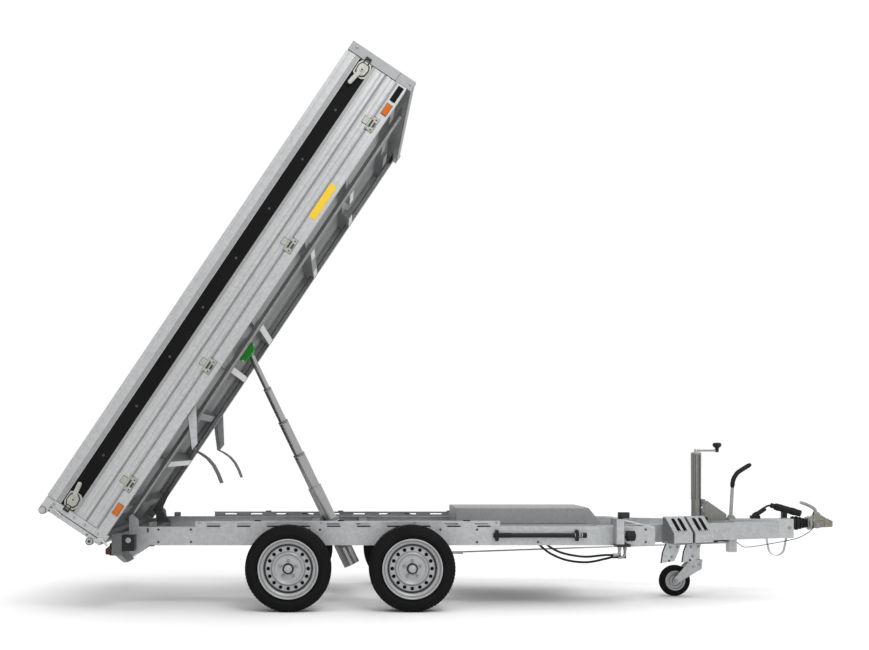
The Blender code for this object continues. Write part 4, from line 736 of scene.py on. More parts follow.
def side_latches(label, side):
    """Over-centre latches at both ends of a drop side, each with its keeper."""
    for end, a, to in (("rear", -0.075, 1), ("front", 2.985, -1)):
        def shape(points, low, high):
            return side_plate(side, [(a + to * u, b) for u, b in points], low, high)

        base = shape(
            ((-0.07, 0.41), (-0.045, 0.396), (0.02, 0.396), (0.034, 0.418), (0.034, 0.462),
             (0.02, 0.484), (-0.045, 0.484), (-0.07, 0.47)), 0.0006, 0.005,
        )
        cam = shape(
            ((-0.052, 0.42), (-0.03, 0.408), (0.006, 0.412), (0.022, 0.43), (0.022, 0.452),
             (0.006, 0.468), (-0.03, 0.472), (-0.052, 0.46)), 0.0085, 0.0135,
        )
        boss = side_rod(side, a - to * 0.014, 0.44, 0.013, 0.004, 0.018, 24)
        lever = shape(
            ((0.0, 0.448), (0.02, 0.464), (0.088, 0.474), (0.098, 0.466), (0.098, 0.452),
             (0.086, 0.446), (0.03, 0.438), (0.01, 0.43)), 0.014, 0.0185,
        )
        grip = shape(((0.06, 0.45), (0.06, 0.47), (0.096, 0.47), (0.096, 0.452)), 0.018, 0.024)
        piece(
            f"latch_{end}_{label}", gathered(base, cam, boss, lever, grip),
            "hinge_zinc", f"side_{label}", edge=0.001,
        )
        shade = shape(
            ((-0.058, 0.414), (-0.032, 0.402), (0.01, 0.405), (0.027, 0.428), (0.027, 0.455),
             (0.01, 0.475), (-0.032, 0.478), (-0.058, 0.466)), 0.0045, 0.009,
        )
        pivot = side_rod(side, a - to * 0.014, 0.44, 0.0055, 0.017, 0.0205, 6)
        spring = shape(((0.024, 0.44), (0.03, 0.452), (0.056, 0.458), (0.056, 0.444)), 0.0075, 0.0145)
        piece(
            f"latch_dark_{end}_{label}", gathered(shade, pivot, spring),
            "black_steel", f"side_{label}", edge=0.0004,
        )
        keeper = shape(
            ((-0.098, 0.424), (-0.098, 0.462), (-0.084, 0.462), (-0.084, 0.424)), 0.0006, 0.012
        )
        y = side * (FACE + 0.01)
        loop = gathered(
            *(
                bar((a - to * 0.09, y, b0), (a - to * q, y, b1), 0.0035)
                for b0, q, b1 in ((0.458, 0.05, 0.458), (0.428, 0.05, 0.428), (0.428, 0.09, 0.458))
            )
        )
        piece(
            f"keeper_{end}_{label}", gathered(keeper, loop),
            "black_steel", "bed", edge=0.0006,
        )


def side_trim(label, side):
    """Bolts along the strip, the groove's end holes, reflectors and plain labels."""
    bolts = []
    for k in range(STRIP_BOLT_COUNT):
        a = STRIP_BOLT_FIRST + k * STRIP_BOLT_PITCH
        profile = ((0, 0.0), (0.0085, 0.0), (0.0085, 0.0012), (0.0055, 0.0042), (0, 0.0048))
        bolts.append(turned_out(side, (a, side * (FACE + CLEAR), STRIP_BOLT_B), profile, 20))
    piece(f"strip_bolts_{label}", bolts, "dark_zinc_and_shade", f"side_{label}")
    holes = [
        rod("y", (a, side * (FACE - 0.004), GROOVE_B), 0.0075, *across(side, GAP, 0.0008), 24)
        for a in (SIDE_REAR + 0.037, SIDE_FRONT - 0.037)
    ]
    piece(f"groove_holes_{label}", holes, "shadow", f"side_{label}")
    for end, a0 in (("rear", -0.027), ("front", 2.85)):
        a1 = a0 + 0.072
        back = side_box(side, a0 - 0.002, a1 + 0.002, 0.168, 0.208, GAP, 0.0045)
        piece(f"reflector_base_{end}_{label}", back, "black_plastic", "bed", edge=0.001)
        front = side_box(side, a0, a1, 0.17, 0.206, 0.0045, 0.0085)
        piece(f"reflector_{end}_{label}", front, "amber_lens", "bed", edge=0.0015)
    label_plate = side_box(side, 2.944, 3.046, 0.17, 0.207, GAP, 0.0032)
    piece(f"black_patch_{label}", label_plate, "strip_black", "bed")
    yellow = side_box(side, 2.1, 2.338, 0.176, 0.22, GAP, 0.0032)
    piece(f"yellow_patch_{label}", yellow, "yellow_label", "bed")


def corner_trim(label, side):
    """Bolts and handles on the rear post and the headboard's end."""
    end_bolts = [
        bolt("y", (a, side * FACE, b), 0.008, 0.007, side) for a, b in ((3.1, 0.543), (3.092, 0.156))
    ]
    piece(f"headboard_bolts_{label}", end_bolts, "bolt_grey", "bed")
    seams = [
        side_box(side, SIDE_FRONT + 0.001, BED_FRONT - 0.001, 0.2385, 0.2405, HAIR, 0.0004),
        side_box(side, SIDE_FRONT - GAP, SIDE_FRONT + 0.0014, 0.16, 0.58, HAIR, 0.0004),
    ]
    piece(f"headboard_seams_{label}", seams, "shadow", "bed")
    y = side * (FACE + 0.0085)
    upper = [
        side_rod(side, GATE_HINGE_A, GATE_HINGE_B, radius, low, high, n)
        for radius, low, high, n in ((0.019, 0.0085, 0.0125, 28), (0.0085, 0.01, 0.0185, 6))
    ]
    piece(f"gate_pin_{label}", upper, "bright_zinc_and_highlight", "bed", edge=0.0006)
    # Painted shadow: dark rings round both pins' heads. The lower pin's head and small marks by the handles
    # are dark too.
    profile = ((0.0192, 0.0086), (0.0225, 0.0086), (0.0225, 0.0102), (0.0192, 0.0102))
    rings = [
        turned_out(side, (GATE_HINGE_A, side * FACE, b), profile, 32) for b in (GATE_HINGE_B, GATE_LOWER_B)
    ]
    rings.append(side_rod(side, GATE_HINGE_A, GATE_LOWER_B, 0.0085, 0.0086, 0.015, 6))
    rings += [
        side_rod(side, GATE_HINGE_A + da, b, 0.005, 0.0067, 0.009)
        for da, b in ((0.026, GATE_LOWER_B + 0.034), (0.02, GATE_HINGE_B - 0.034))
    ]
    piece(f"gate_marks_and_shadows_{label}", rings, "dark_zinc_and_shade", "bed")
    outline = (
        (-0.03, 0.03), (-0.018, 0.042), (0.022, -0.004), (0.022, -0.02), (0.01, -0.026), (-0.004, -0.012),
    )
    for name, a, b in (("upper", GATE_HINGE_A + 0.03, 0.51), ("lower", GATE_HINGE_A + 0.036, 0.18)):
        arm = side_plate(side, moved(outline, a, b), 0.0006, 0.0066)
        knob = bar((a + 0.012, y, b - 0.014), (a + 0.004, side * (FACE + 0.0125), b - 0.062), 0.0062)
        piece(f"gate_handle_{name}_{label}", gathered(arm, knob), "bright_zinc_and_highlight", "bed", edge=0.001)
    plate = side_box(side, SIDE_REAR - 0.041, SIDE_REAR - 0.001, 0.226, 0.252, GAP, 0.0036)
    marks = [
        side_rod(side, SIDE_REAR - 0.021, b, 0.0062, GAP, 0.0052, 6)
        for b in (0.205, 0.3, 0.38, 0.52)
    ]
    piece(f"post_plate_{label}", plate, "sheet_steel", "bed", edge=0.0008)
    piece(f"post_bolts_{label}", marks, "bolt_grey", "bed")


def rolled(side, profile, a0, a1):
    """A shallow roll along the bed's side, its profile given as (b, height off the face)."""
    outline = [(side * (FACE + HAIR), b) for b in (profile[-1][0], profile[0][0])]
    outline += [(side * (FACE + out), b) for b, out in profile]
    return prism("yz", outline, a0, a1)


# The rolls are shapes. Over them lie painted shade in the grooves and in dark bands on slopes that face
# down, and painted highlights on the ridges.
PRESSED = (
    ("rolls", "sheet_steel", (
        ((0.566, 0.0003), (0.524, 0.004), (0.4965, 0.0003)),
        ((0.3985, 0.0056), (0.3955, 0.006), (0.3805, 0.0006), (0.366, 0.0042), (0.338, 0.0003)),
        ((0.337, 0.0003), (0.32, 0.0044), (0.306, 0.0008), (0.3, 0.0008), (0.2905, 0.0044), (0.266, 0.0003)),
        ((0.264, 0.0003), (0.244, 0.003), (0.24, 0.0026)),
    )),
    ("grooves", "groove_shade_zinc", (((0.313, 0.0038), (0.3058, 0.0013), (0.301, 0.0013), (0.2995, 0.0018)),)),
    ("shade_bands", "cover_zinc_and_shade", (
        ((0.523, 0.0044), (0.51, 0.0025), (0.495, 0.0008)),
        ((0.3985, 0.0061), (0.3955, 0.0065), (0.381, 0.0012), (0.378, 0.0014)),
    )),
    ("ridge_highlights", "bright_zinc_and_highlight", (
        ((0.373, 0.0024), (0.3662, 0.0047), (0.364, 0.0044)),
        ((0.2955, 0.0031), (0.2908, 0.0049), (0.2865, 0.0045)),
    )),
)


def pressed_lines(label, side):
    """The drop side's pressed rolls, with painted shade in their grooves and bands and painted highlights on
    their ridges, and on the rim below it a groove in painted shade and a roll.
    """
    a0, a1 = SIDE_REAR + 0.004, SIDE_FRONT - 0.004
    for name, finish, profiles in PRESSED:
        lines = [rolled(side, profile, a0, a1) for profile in profiles]
        piece(f"board_{name}_{label}", lines, finish, f"side_{label}")
    # The rim's groove: a flat strip of painted shade.
    groove = side_box(side, a0, a1, 0.22, 0.2325, HAIR, 0.0009)
    piece(f"rim_groove_{label}", groove, "groove_shade_zinc", "bed")
    lip = rolled(side, ((0.216, 0.0008), (0.2095, 0.0026), (0.19, 0.0003)), a0, a1)
    piece(f"rim_roll_{label}", lip, "sheet_steel", "bed")


def front_wall():
    """The headboard: a recessed sheet with pressed rolls between two end posts and under a top rail."""
    low, high, half = 0.131, SIDE_TOP - 0.004, BED_HALF
    back, inner = SIDE_FRONT + GAP, half - 0.03
    parts = [
        box(back, SIDE_FRONT + 0.016, -inner, inner, low, high - 0.01),
        box(back, BED_FRONT - 0.004, -inner, inner, high - 0.044, high),
        box(back, BED_FRONT - 0.014, -inner, inner, low, low + 0.006),
    ]
    for side in (1, -1):
        parts.append(box(back, BED_FRONT, *across(side, half - 0.046, half), low, high))
    for b in (0.225, 0.325, 0.425):
        outline = ((0.015, -0.02), (0.023, -0.01), (0.023, 0.01), (0.015, 0.02))
        parts.append(prism("xz", moved(outline, SIDE_FRONT, b), -half + 0.06, half - 0.06))
    piece("front_wall", parts, "cover_zinc_and_shade", "bed", edge=0.0016, node="headboard")


def cover_sheet():
    """The folded sheet over the hydraulics, with a painted highlight along the fold of its top edges."""
    outline = (
        (COVER_REAR, COVER_BOTTOM), (COVER_REAR, COVER_TOP), (COVER_NOSE, COVER_TOP),
        (COVER_NOSE + 0.082, COVER_BOTTOM + 0.006), (COVER_NOSE + 0.082, COVER_BOTTOM),
    )
    piece(
        "cover_sheet", prism("xz", outline, -COVER_HALF, COVER_HALF),
        "cover_zinc_and_shade", edge=0.003, node="hydraulic_cover",
    )
    # Painted highlight: bright strips just under the top edges on both sides.
    seam = []
    for side in (1, -1):
        y0, y1 = across(side, COVER_HALF + GAP, COVER_HALF + 0.0016)
        seam.append(box(COVER_REAR + 0.004, COVER_NOSE, y0, y1, COVER_TOP - 0.006, COVER_TOP - 0.0022))
    piece("cover_fold_highlights", seam, "bright_zinc_and_highlight")


def longeron_edges(label, side):
    """Painted highlights along a longeron's rolled edges, its inner strip and the mudflap's hanger."""
    # Bright strips of painted highlight where the flanges' lips catch the light.
    edges = [
        box(0.0, 2.98, *across(side, LONGERON_OUT_Y + GAP, LONGERON_OUT_Y + 0.0016), 0.1255, 0.137),
        box(0.0, 2.98, *across(side, LONGERON_OUT_Y - 0.0462, LONGERON_OUT_Y - 0.0452), 0.1255, 0.13),
    ]
    piece(f"longeron_highlight_{label}", edges, "bright_zinc_and_highlight", "bed")
    inside = box(0.01, 2.96, *across(side, LONGERON_OUT_Y - 0.005, LONGERON_OUT_Y - 0.0042), 0.1306, 0.153)
    piece(f"longeron_inside_{label}", inside, "galvanised", "bed")
    outline = ((0.7, 0.1565), (0.548, 0.024), (0.6, 0.019), (0.614, 0.03), (0.788, 0.1565))
    hanger = prism("xz", outline, *across(side, 0.8712, 0.8786))
    piece(f"flap_hanger_{label}", hanger, "galvanised", "bed", edge=0.0012)


def lit_crossmember_flanges():
    """Painted light: bright plates on the lower faces of the deep crossmembers' flanges, lit from the floor
    below.
    """
    half = 0.545
    # Bright plates of painted light over the flanges' lower faces.
    parts = []
    for a in (0.37, 1.086, 1.41):
        parts.append(box(a - 0.0195, a + 0.0195, -half, half, 0.1246, 0.1257))
    for a in (1.986, 2.43):
        for side in (1, -1):
            parts.append(box(a - 0.0195, a + 0.0195, *across(side, 0.25, half), 0.1246, 0.1257))
    piece("lit_crossmember_flanges", parts, "bright_zinc_and_highlight", "bed")


def bed_trim():
    lit_crossmember_flanges()
    front_wall()
    cover_sheet()
    for label, side in SIDES:
        pressed_lines(label, side)
        longeron_edges(label, side)
        side_hinges(label, side)
        side_latches(label, side)
        side_trim(label, side)
        corner_trim(label, side)


# Cylinder

FIRST_FOOT = 0.014
FOOT_STEP = 0.002
BALL_NECK_DEGREES = 56
ROUND_SEGMENTS = 72


def cylinder_frame():
    """The trunnion's frame, whose z axis runs up the cylinder to its ball."""
    seat = BED @ Vector((SEAT[0], 0, SEAT[1]))
    trunnion = CHASSIS @ Vector((TRUNNION[0], 0, TRUNNION[1]))
    lean = math.atan2(seat.x - trunnion.x, seat.z - trunnion.z)
    return Matrix.Translation(trunnion) @ Matrix.Rotation(lean, 4, "Y")


def cylinder_trim():
    """The round stages as open tubes, the last one with its ball, and the rings at their mouths."""
    place = cylinder_frame()
    radii = (BARREL_RADIUS, *STAGE_RADII)
    last = len(STAGE_RADII)
    for k, outer in enumerate(radii):
        node = f"cylinder_stage_{k}" if k else "cylinder_barrel"
        top = BARREL_ABOVE + k * (STAGE_STEP + STAGE_STROKE)
        foot = k * (FOOT_STEP + STAGE_STROKE) + FIRST_FOOT - BARREL_BELOW
        bore = outer if k == last else radii[k + 1] + STAGE_PLAY
        if k == last:
            centre = top + BALL_ABOVE
            profile = [(0, foot), (outer, foot), (outer, top - 0.004), (outer - 0.004, top)]
            profile += [
                (BALL_RADIUS * math.sin(math.radians(d)), centre - BALL_RADIUS * math.cos(math.radians(d)))
                for d in range(BALL_NECK_DEGREES, 181, 12)
            ]
            profile.append((0, centre + BALL_RADIUS))
        else:
            profile = [(bore, foot), (outer, foot), (outer, top), (bore, top)]
        if k:
            piece(
                f"stage_{k}", turned("z", (0, 0, 0), profile, ROUND_SEGMENTS, k < last),
                "chrome_rod", node, place, node=node,
            )
        if k == last:
            break
        skin = outer + HAIR
        ring = (
            (skin, top - 0.0054), (outer + 0.0017, top - 0.005), (outer + 0.0017, top - 0.0006),
            (outer + 0.001, top + GAP), (bore + HAIR, top + GAP), (bore + HAIR, top + HAIR),
            (skin, top + HAIR),
        )
        wiper = turned("z", (0, 0, 0), ring, ROUND_SEGMENTS)
        piece(f"wiper_{k}", wiper, "bolt_grey", node, place)
        if k == 1:
            continue
        inner, proud = outer + 0.00004, outer + 0.00014
        band = ((inner, top - 0.02), (proud, top - 0.0198), (proud, top - 0.0058), (inner, top - 0.0056))
        sleeve = turned("z", (0, 0, 0), band, ROUND_SEGMENTS)
        piece(f"mouth_band_{k}", sleeve, "bright_zinc_and_highlight", node, place)


def seat_cheeks():
    """The green cheeks beside the ball, and the seat's bolts."""
    a, b = SEAT
    outer = mirrored(a, [(0.07, SEAT_TOP - 0.001), (0.07, b + 0.03), (0.058, b + 0.01), (0.034, b - 0.01)])
    inner = mirrored(a, [(0.05, b + 0.019), (0.044, b - 0.004), (0.024, b - 0.012)])
    cheeks = [
        prism("xz", outline, *across(side, low, low + 0.008))
        for outline, low in ((outer, 0.056), (inner, 0.027))
        for side in (1, -1)
    ]
    piece("seat_cheeks", cheeks, "green_paint", "bed", edge=0.002)
    bolts = [
        bolt("y", (a + da, side * 0.064, b + 0.04), 0.0065, 0.006, side)
        for side in (1, -1)
        for da in (-0.048, 0.048)
    ]
    piece("seat_bolts", bolts, "dark_zinc_and_shade", "bed")


# Chassis trim

def side_slot(side, start, length, z, height):
    """A dark slot with round ends on a rail's outer face."""
    outline = []
    r = height / 2
    for x, first in ((start + length - r, -90), (start + r, 90)):
        for k in range(7):
            turn = math.radians(first + 30 * k)
            outline.append((x + r * math.cos(turn), z + r * math.sin(turn)))
    return prism("xz", outline, *across(side, RAIL_OUT_Y + HAIR, RAIL_OUT_Y + 0.0008))


def rail_bolts():
    """Bolts and slots on the rails, their tails, and the blocks and pads that the bed rests on."""
    rows = [(0.046, 0.4865), (0.046, 0.409), (0.248, 0.4865), (0.248, 0.409)]
    rows += [(x, z) for x in (0.985, 1.052, 1.735, 1.802) for z in (0.486, 0.408)]
    rows += [(x, 0.408) for x in (2.03, 2.41, 3.08)] + [(3.08, 0.486), (2.03, 0.486)]
    for label, side in SIDES:
        # The bolt heads and the keyhole slot are dark: painted shade.
        heads = [bolt("y", (x, side * RAIL_OUT_Y, z), 0.0062, 0.005, side, 1.2) for x, z in rows]
        heads.append(
            box(-0.026, -0.014, *across(side, RAIL_OUT_Y + GAP, RAIL_OUT_Y + 0.0012), 0.468, 0.495)
        )
        piece(f"rail_bolts_{label}", heads, "dark_zinc_and_shade")
        small = [
            bolt("y", (x, side * RAIL_OUT_Y, 0.528), 0.006, 0.004, side, 1.4)
            for x in (0.3, 1.06, 1.64, 2.15)
        ]
        piece(f"upper_bolts_{label}", small, "bolt_grey")
        slots = [
            side_slot(side, RAIL_SLOT_FIRST + k * RAIL_SLOT_PITCH, 0.0855, 0.507, 0.0085)
            for k in range(RAIL_SLOT_COUNT)
        ]
        piece(f"rail_slots_{label}", slots, "shadow")
        tail = prism(
            "xz",
            ((0.02, 0.3878), (-0.0066, 0.3878), (-0.112, 0.3188), (-0.116, 0.3125), (-0.01, 0.3812),
             (0.02, 0.382)),
            *across(side, RAIL_OUT_Y - 0.014, RAIL_OUT_Y - GAP),
        )
        piece(f"rail_tail_{label}", tail, "black_steel")
        y0, y1 = across(side, RAIL_OUT_Y - 0.0425, RAIL_OUT_Y - 0.002)
        stop = box(-0.014, 0.03, y0, y1, RAIL_TOP + GAP, 0.534)
        piece(f"rest_block_{label}", stop, "weathered_and_shaded_zinc", edge=0.003)
        y = side * (RAIL_OUT_Y - 0.0225)
        pads = [
            box(x - 0.02, x + 0.02, y - 0.0165, y + 0.0165, UPPER_RAIL_TOP + GAP, UPPER_RAIL_TOP + 0.0066)
            for x in (0.664, 1.183, 1.967)
        ]
        piece(f"rest_pads_{label}", pads, "rubber", edge=0.0012)


def rear_trim():
    """The lamp beam's end faces, side boxes and markers, and the lamps' bases and windows."""
    for label, side in SIDES:
        # The beam's end faces: painted shade.
        outline = ((-0.198, 0.349), (-0.14, 0.349), (-0.14, 0.474), (-0.198, 0.474))
        cap = prism("xz", outline, *across(side, LAMP_BEAM_HALF + CLEAR, LAMP_BEAM_HALF + 0.0045))
        piece(f"beam_cap_{label}", cap, "shaded_zinc", edge=0.001)
        x0, x1 = LAMP_BEAM_FRONT + 0.0004, LAMP_BEAM_FRONT + 0.0752
        y0, y1 = across(side, 0.7815, LAMP_BEAM_HALF + 0.003)
        black = box(x0, x1, y0, y1, LAMP_BEAM_BOTTOM + 0.028, 0.4672)
        piece(f"side_box_{label}", black, "black_plastic", edge=0.003)
        profile = ((0, 0.876), (0.012, 0.876), (0.016, 0.874), (0.016, 0.8752), (0, 0.8752))
        marker = turned_out(side, (LAMP_BEAM_FRONT + 0.04, 0, 0.438), profile, 32)
        piece(f"marker_{label}", marker, "bolt_grey")
        base = box(
            LAMP_BEAM_REAR - 0.012, LAMP_BEAM_REAR - GAP, *across(side, 0.63, LAMP_BEAM_HALF + 0.0012),
            LAMP_BEAM_BOTTOM + 0.001, LAMP_BEAM_BOTTOM + 0.074,
        )
        piece(f"lamp_base_{label}", base, "black_plastic", edge=0.002)
        corners = ((-0.0372, 0.0075), (-0.0372, 0.0405), (-0.0352, 0.043), (-0.0352, 0.0072))
        outline = moved(corners, LAMP_BEAM_REAR, LAMP_BEAM_BOTTOM)
        for colour, low, high in (("amber", 0.79, 0.865), ("clear", 0.64, 0.69)):
            window = prism("xz", outline, *across(side, low, high))
            piece(f"lamp_{colour}_{label}", window, f"{colour}_lens", edge=0.0006)


# Drawbar trim

JACK_RIBS = 8
VALVE_RIBS = 18
VALVE_RADIUS = 0.0285
VALVE_Z = 0.449
VALVE_ENDS = (2.951, 3.0005)
LEVER_SOCKET_Z = 0.577
ELBOW_TAIL = 0.04
CHOCK_COUNT = 2
CHOCK_TEETH = 5
CHOCK_TOOTH = ((-0.0034, -0.012), (-0.0034, 0.003), (0.012, 0.0165), (0.016, 0.015), (0.001, -0.012))


def leg_y(x):
    return LEG_REAR_Y + (LEG_FRONT_Y - LEG_REAR_Y) * (x - LEG_REAR_X) / (LEG_FRONT_X - LEG_REAR_X)


def swept(points, radius, segments=24, ends=0.6):
    """A round bar of even radius along a smooth line, with domed ends."""
    line, _ = smooth_route(points, radius * 0.5)
    bm = bmesh.new()
    rings = []
    last = len(line) - 1
    for index, at in enumerate(line):
        ahead, behind = line[min(index + 1, last)], line[max(index - 1, 0)]
        along = (ahead - behind).normalized()
        u = Vector((0, 1, 0))
        v = along.cross(u).normalized()
        near = min(index, last - index)
        r = radius * (ends + (1 - ends) * min(near / 2, 1.0))
        ring = [
            bm.verts.new(at + (u * math.cos(a) + v * math.sin(a)) * r)
            for a in (2 * math.pi * k / segments for k in range(segments))
        ]
        rings.append(ring)
    for one, two in zip(rings, rings[1:]):
        bridge(bm, one, two)
    bm.faces.new(rings[0])
    bm.faces.new(list(reversed(rings[-1])))
    bmesh.ops.recalc_face_normals(bm, faces=bm.faces)
    return bm


def handbrake():
    """The hand brake: its bracket, flat silver lever and black grip."""
    x, base = LEVER_X, NOSE_TOP + CLEAR
    cheek = moved(
        ((-0.02, 0), (0.028, 0), (0.026, 0.012), (0.012, 0.026), (-0.01, 0.026), (-0.02, 0.014)), x, base
    )
    blade = ((x - 0.012, base + 0.006), (x + 0.011, base + 0.006), (x + 0.0225, 0.738), (x + 0.0015, 0.738))
    parts = [box(x - 0.022, x + 0.03, -0.022, 0.022, base, base + 0.005)]
    parts += [prism("xz", cheek, *across(side, 0.008, 0.012)) for side in (1, -1)]
    parts.append(prism("xz", blade, -0.005, 0.005))
    parts.append(rod("y", (x + 0.001, 0, base + 0.016), 0.007, -0.018, 0.018, 6))
    piece("lever_bar", parts, "bolt_grey", edge=0.0012, node="handbrake_lever")
    line = (
        (0.011, 0, 0.727), (0.014, 0, 0.762), (0.022, 0, 0.792), (0.046, 0, 0.828), (0.08, 0, 0.852),
        (0.136, 0, 0.886),
    )
    piece("lever_grip", swept(moved(line, x, 0, 0), 0.0152), "rubber")


def jack_trim():
    """The jack's ribs, its grooves in painted shade and its top cap, its crank and knob, its clamp and a
    black block.
    """
    tube = []
    r = JACK_TUBE_RADIUS
    for k in range(JACK_RIBS):
        turn = 2 * math.pi * (k + 0.5) / JACK_RIBS
        centre = (JACK_X + (r - 0.0022) * math.cos(turn), (r - 0.0022) * math.sin(turn), 0)
        tube.append(rod("z", centre, 0.0042, 0.645, JACK_TUBE_TOP - 0.002, 10))
    piece("jack_ribs", tube, "jack_grey")
    # Painted shade: dark strips stand for the grooves down the tube's sides.
    grooves = []
    for x, half in ((-0.013, 0.0016), (0.0045, 0.0012), (0.0165, 0.0022)):
        for side in (1, -1):
            y0, y1 = across(side, math.sqrt(r * r - x * x), r + 0.0016)
            grooves.append(box(JACK_X + x - half, JACK_X + x + half, y0, y1, 0.65, 0.95))
    piece("jack_groove_shades", grooves, "dark_zinc_and_shade")
    cap = (
        (0, 0.958), (r + 0.003, 0.958), (r + 0.003, 0.963), (r - 0.004, 0.967), (0.013, 0.967),
        (0.012, 0.984), (0.009, 0.989), (0, 0.989),
    )
    piece("jack_cap", turned("z", (JACK_X, 0, 0), cap, 48), "bright_zinc_and_highlight")
    arm_z = JACK_TUBE_TOP + 0.017
    arm = swept([(JACK_X + x, 0, arm_z) for x in (0.004, 0.05, 0.1, CRANK_LENGTH)], 0.0066, 16)
    piece("crank_arm", arm, "bolt_grey")
    knob = (
        (0, -0.008), (0.0112, -0.007), (0.0118, 0.004), (0.0125, 0.0185), (0.017, 0.024), (0.0265, 0.0315),
        (0.0286, 0.036), (0.0286, 0.0475), (0.026, 0.052), (0.019, 0.0568), (0, 0.0575),
    )
    piece(
        "crank_knob", turned("z", (JACK_X + CRANK_LENGTH, 0, arm_z - 0.004), knob, 40),
        "black_plastic",
    )
    clamp = [box(JACK_X + 0.026, JACK_X + 0.052, -0.034, 0.034, 0.546, 0.652)]
    for z, low in ((0.632, -0.046), (0.566, -0.042)):
        clamp.append(rod("y", (JACK_X + 0.04, 0, z), 0.008, low, 0.04, 6))
    piece("jack_clamp", clamp, "weathered_and_shaded_zinc", edge=0.001)
    block = box(JACK_X + 0.036, JACK_X + 0.066, -0.05, -0.026, LEG_TOP + 0.007, LEG_TOP + 0.026)
    piece("jack_block", block, "black_plastic", edge=0.003)
    lever = bar((JACK_X + 0.02, -0.03, 0.585), (JACK_X + 0.02, -0.066, 0.598), 0.0055)
    piece("clamp_lever", lever, "bright_zinc_and_highlight")


def jockey_trim():
    """The jockey wheel's tyre, ringed disc and axle nut, and the fork's bolts."""
    place = CHASSIS @ Matrix.Translation((JOCKEY_X, 0, JOCKEY_RADIUS))
    edge = [(0.067, 0.022), (0.07, 0.027), (0.079, 0.0295), (0.089, 0.0275), (0.097, 0.021), (0.102, 0.0125),
            (0.1045, 0.0045)]
    tyre = [(0.06, -0.016), *((r, -h) for r, h in edge), *reversed(edge), (0.06, 0.016)]
    piece(
        "jockey_tyre", turned("y", (0, 0, 0), tyre, 72),
        "tyre", "jockey_wheel", place, node="jockey_wheel",
    )
    disc = moved(
        ((0.0092, -0.003), (0.017, -0.002), (0.019, -0.006), (0.021, -0.017), (0.034, -0.019),
         (0.037, -0.014), (0.04, -0.019), (0.052, -0.017), (0.056, -0.009), (0.062, -0.006),
         (0.0665, -0.006), (0.0668, -0.012)), 0, JOCKEY_WIDTH / 2,
    )
    profile = disc + [(r, -h) for r, h in reversed(disc)]
    piece(
        "jockey_disc", turned("y", (0, 0, 0), profile, 64),
        "rim_silver", "jockey_wheel", place,
    )
    reach = FORK_Y + FORK_WALL
    nuts = gathered(
        *(
            rod("y", (JOCKEY_X, 0, JOCKEY_RADIUS), radius, *across(side, reach + low, reach + high), n)
            for side in (1, -1)
            for radius, low, high, n in ((0.014, CLEAR, 0.0025, 28), (0.0105, 0.0025, 0.0095, 6))
        )
    )
    piece("fork_nuts", nuts, "bolt_grey", "jockey_fork")
    bolts = gathered(
        *(
            bolt("y", (x, side * reach, z), 0.0065, 0.005, side)
            for side in (1, -1)
            for x, z in ((JACK_X + 0.012, 0.214), (JACK_X - 0.03, 0.2))
        )
    )
    piece("fork_bolts", bolts, "bolt_grey", "jockey_fork")


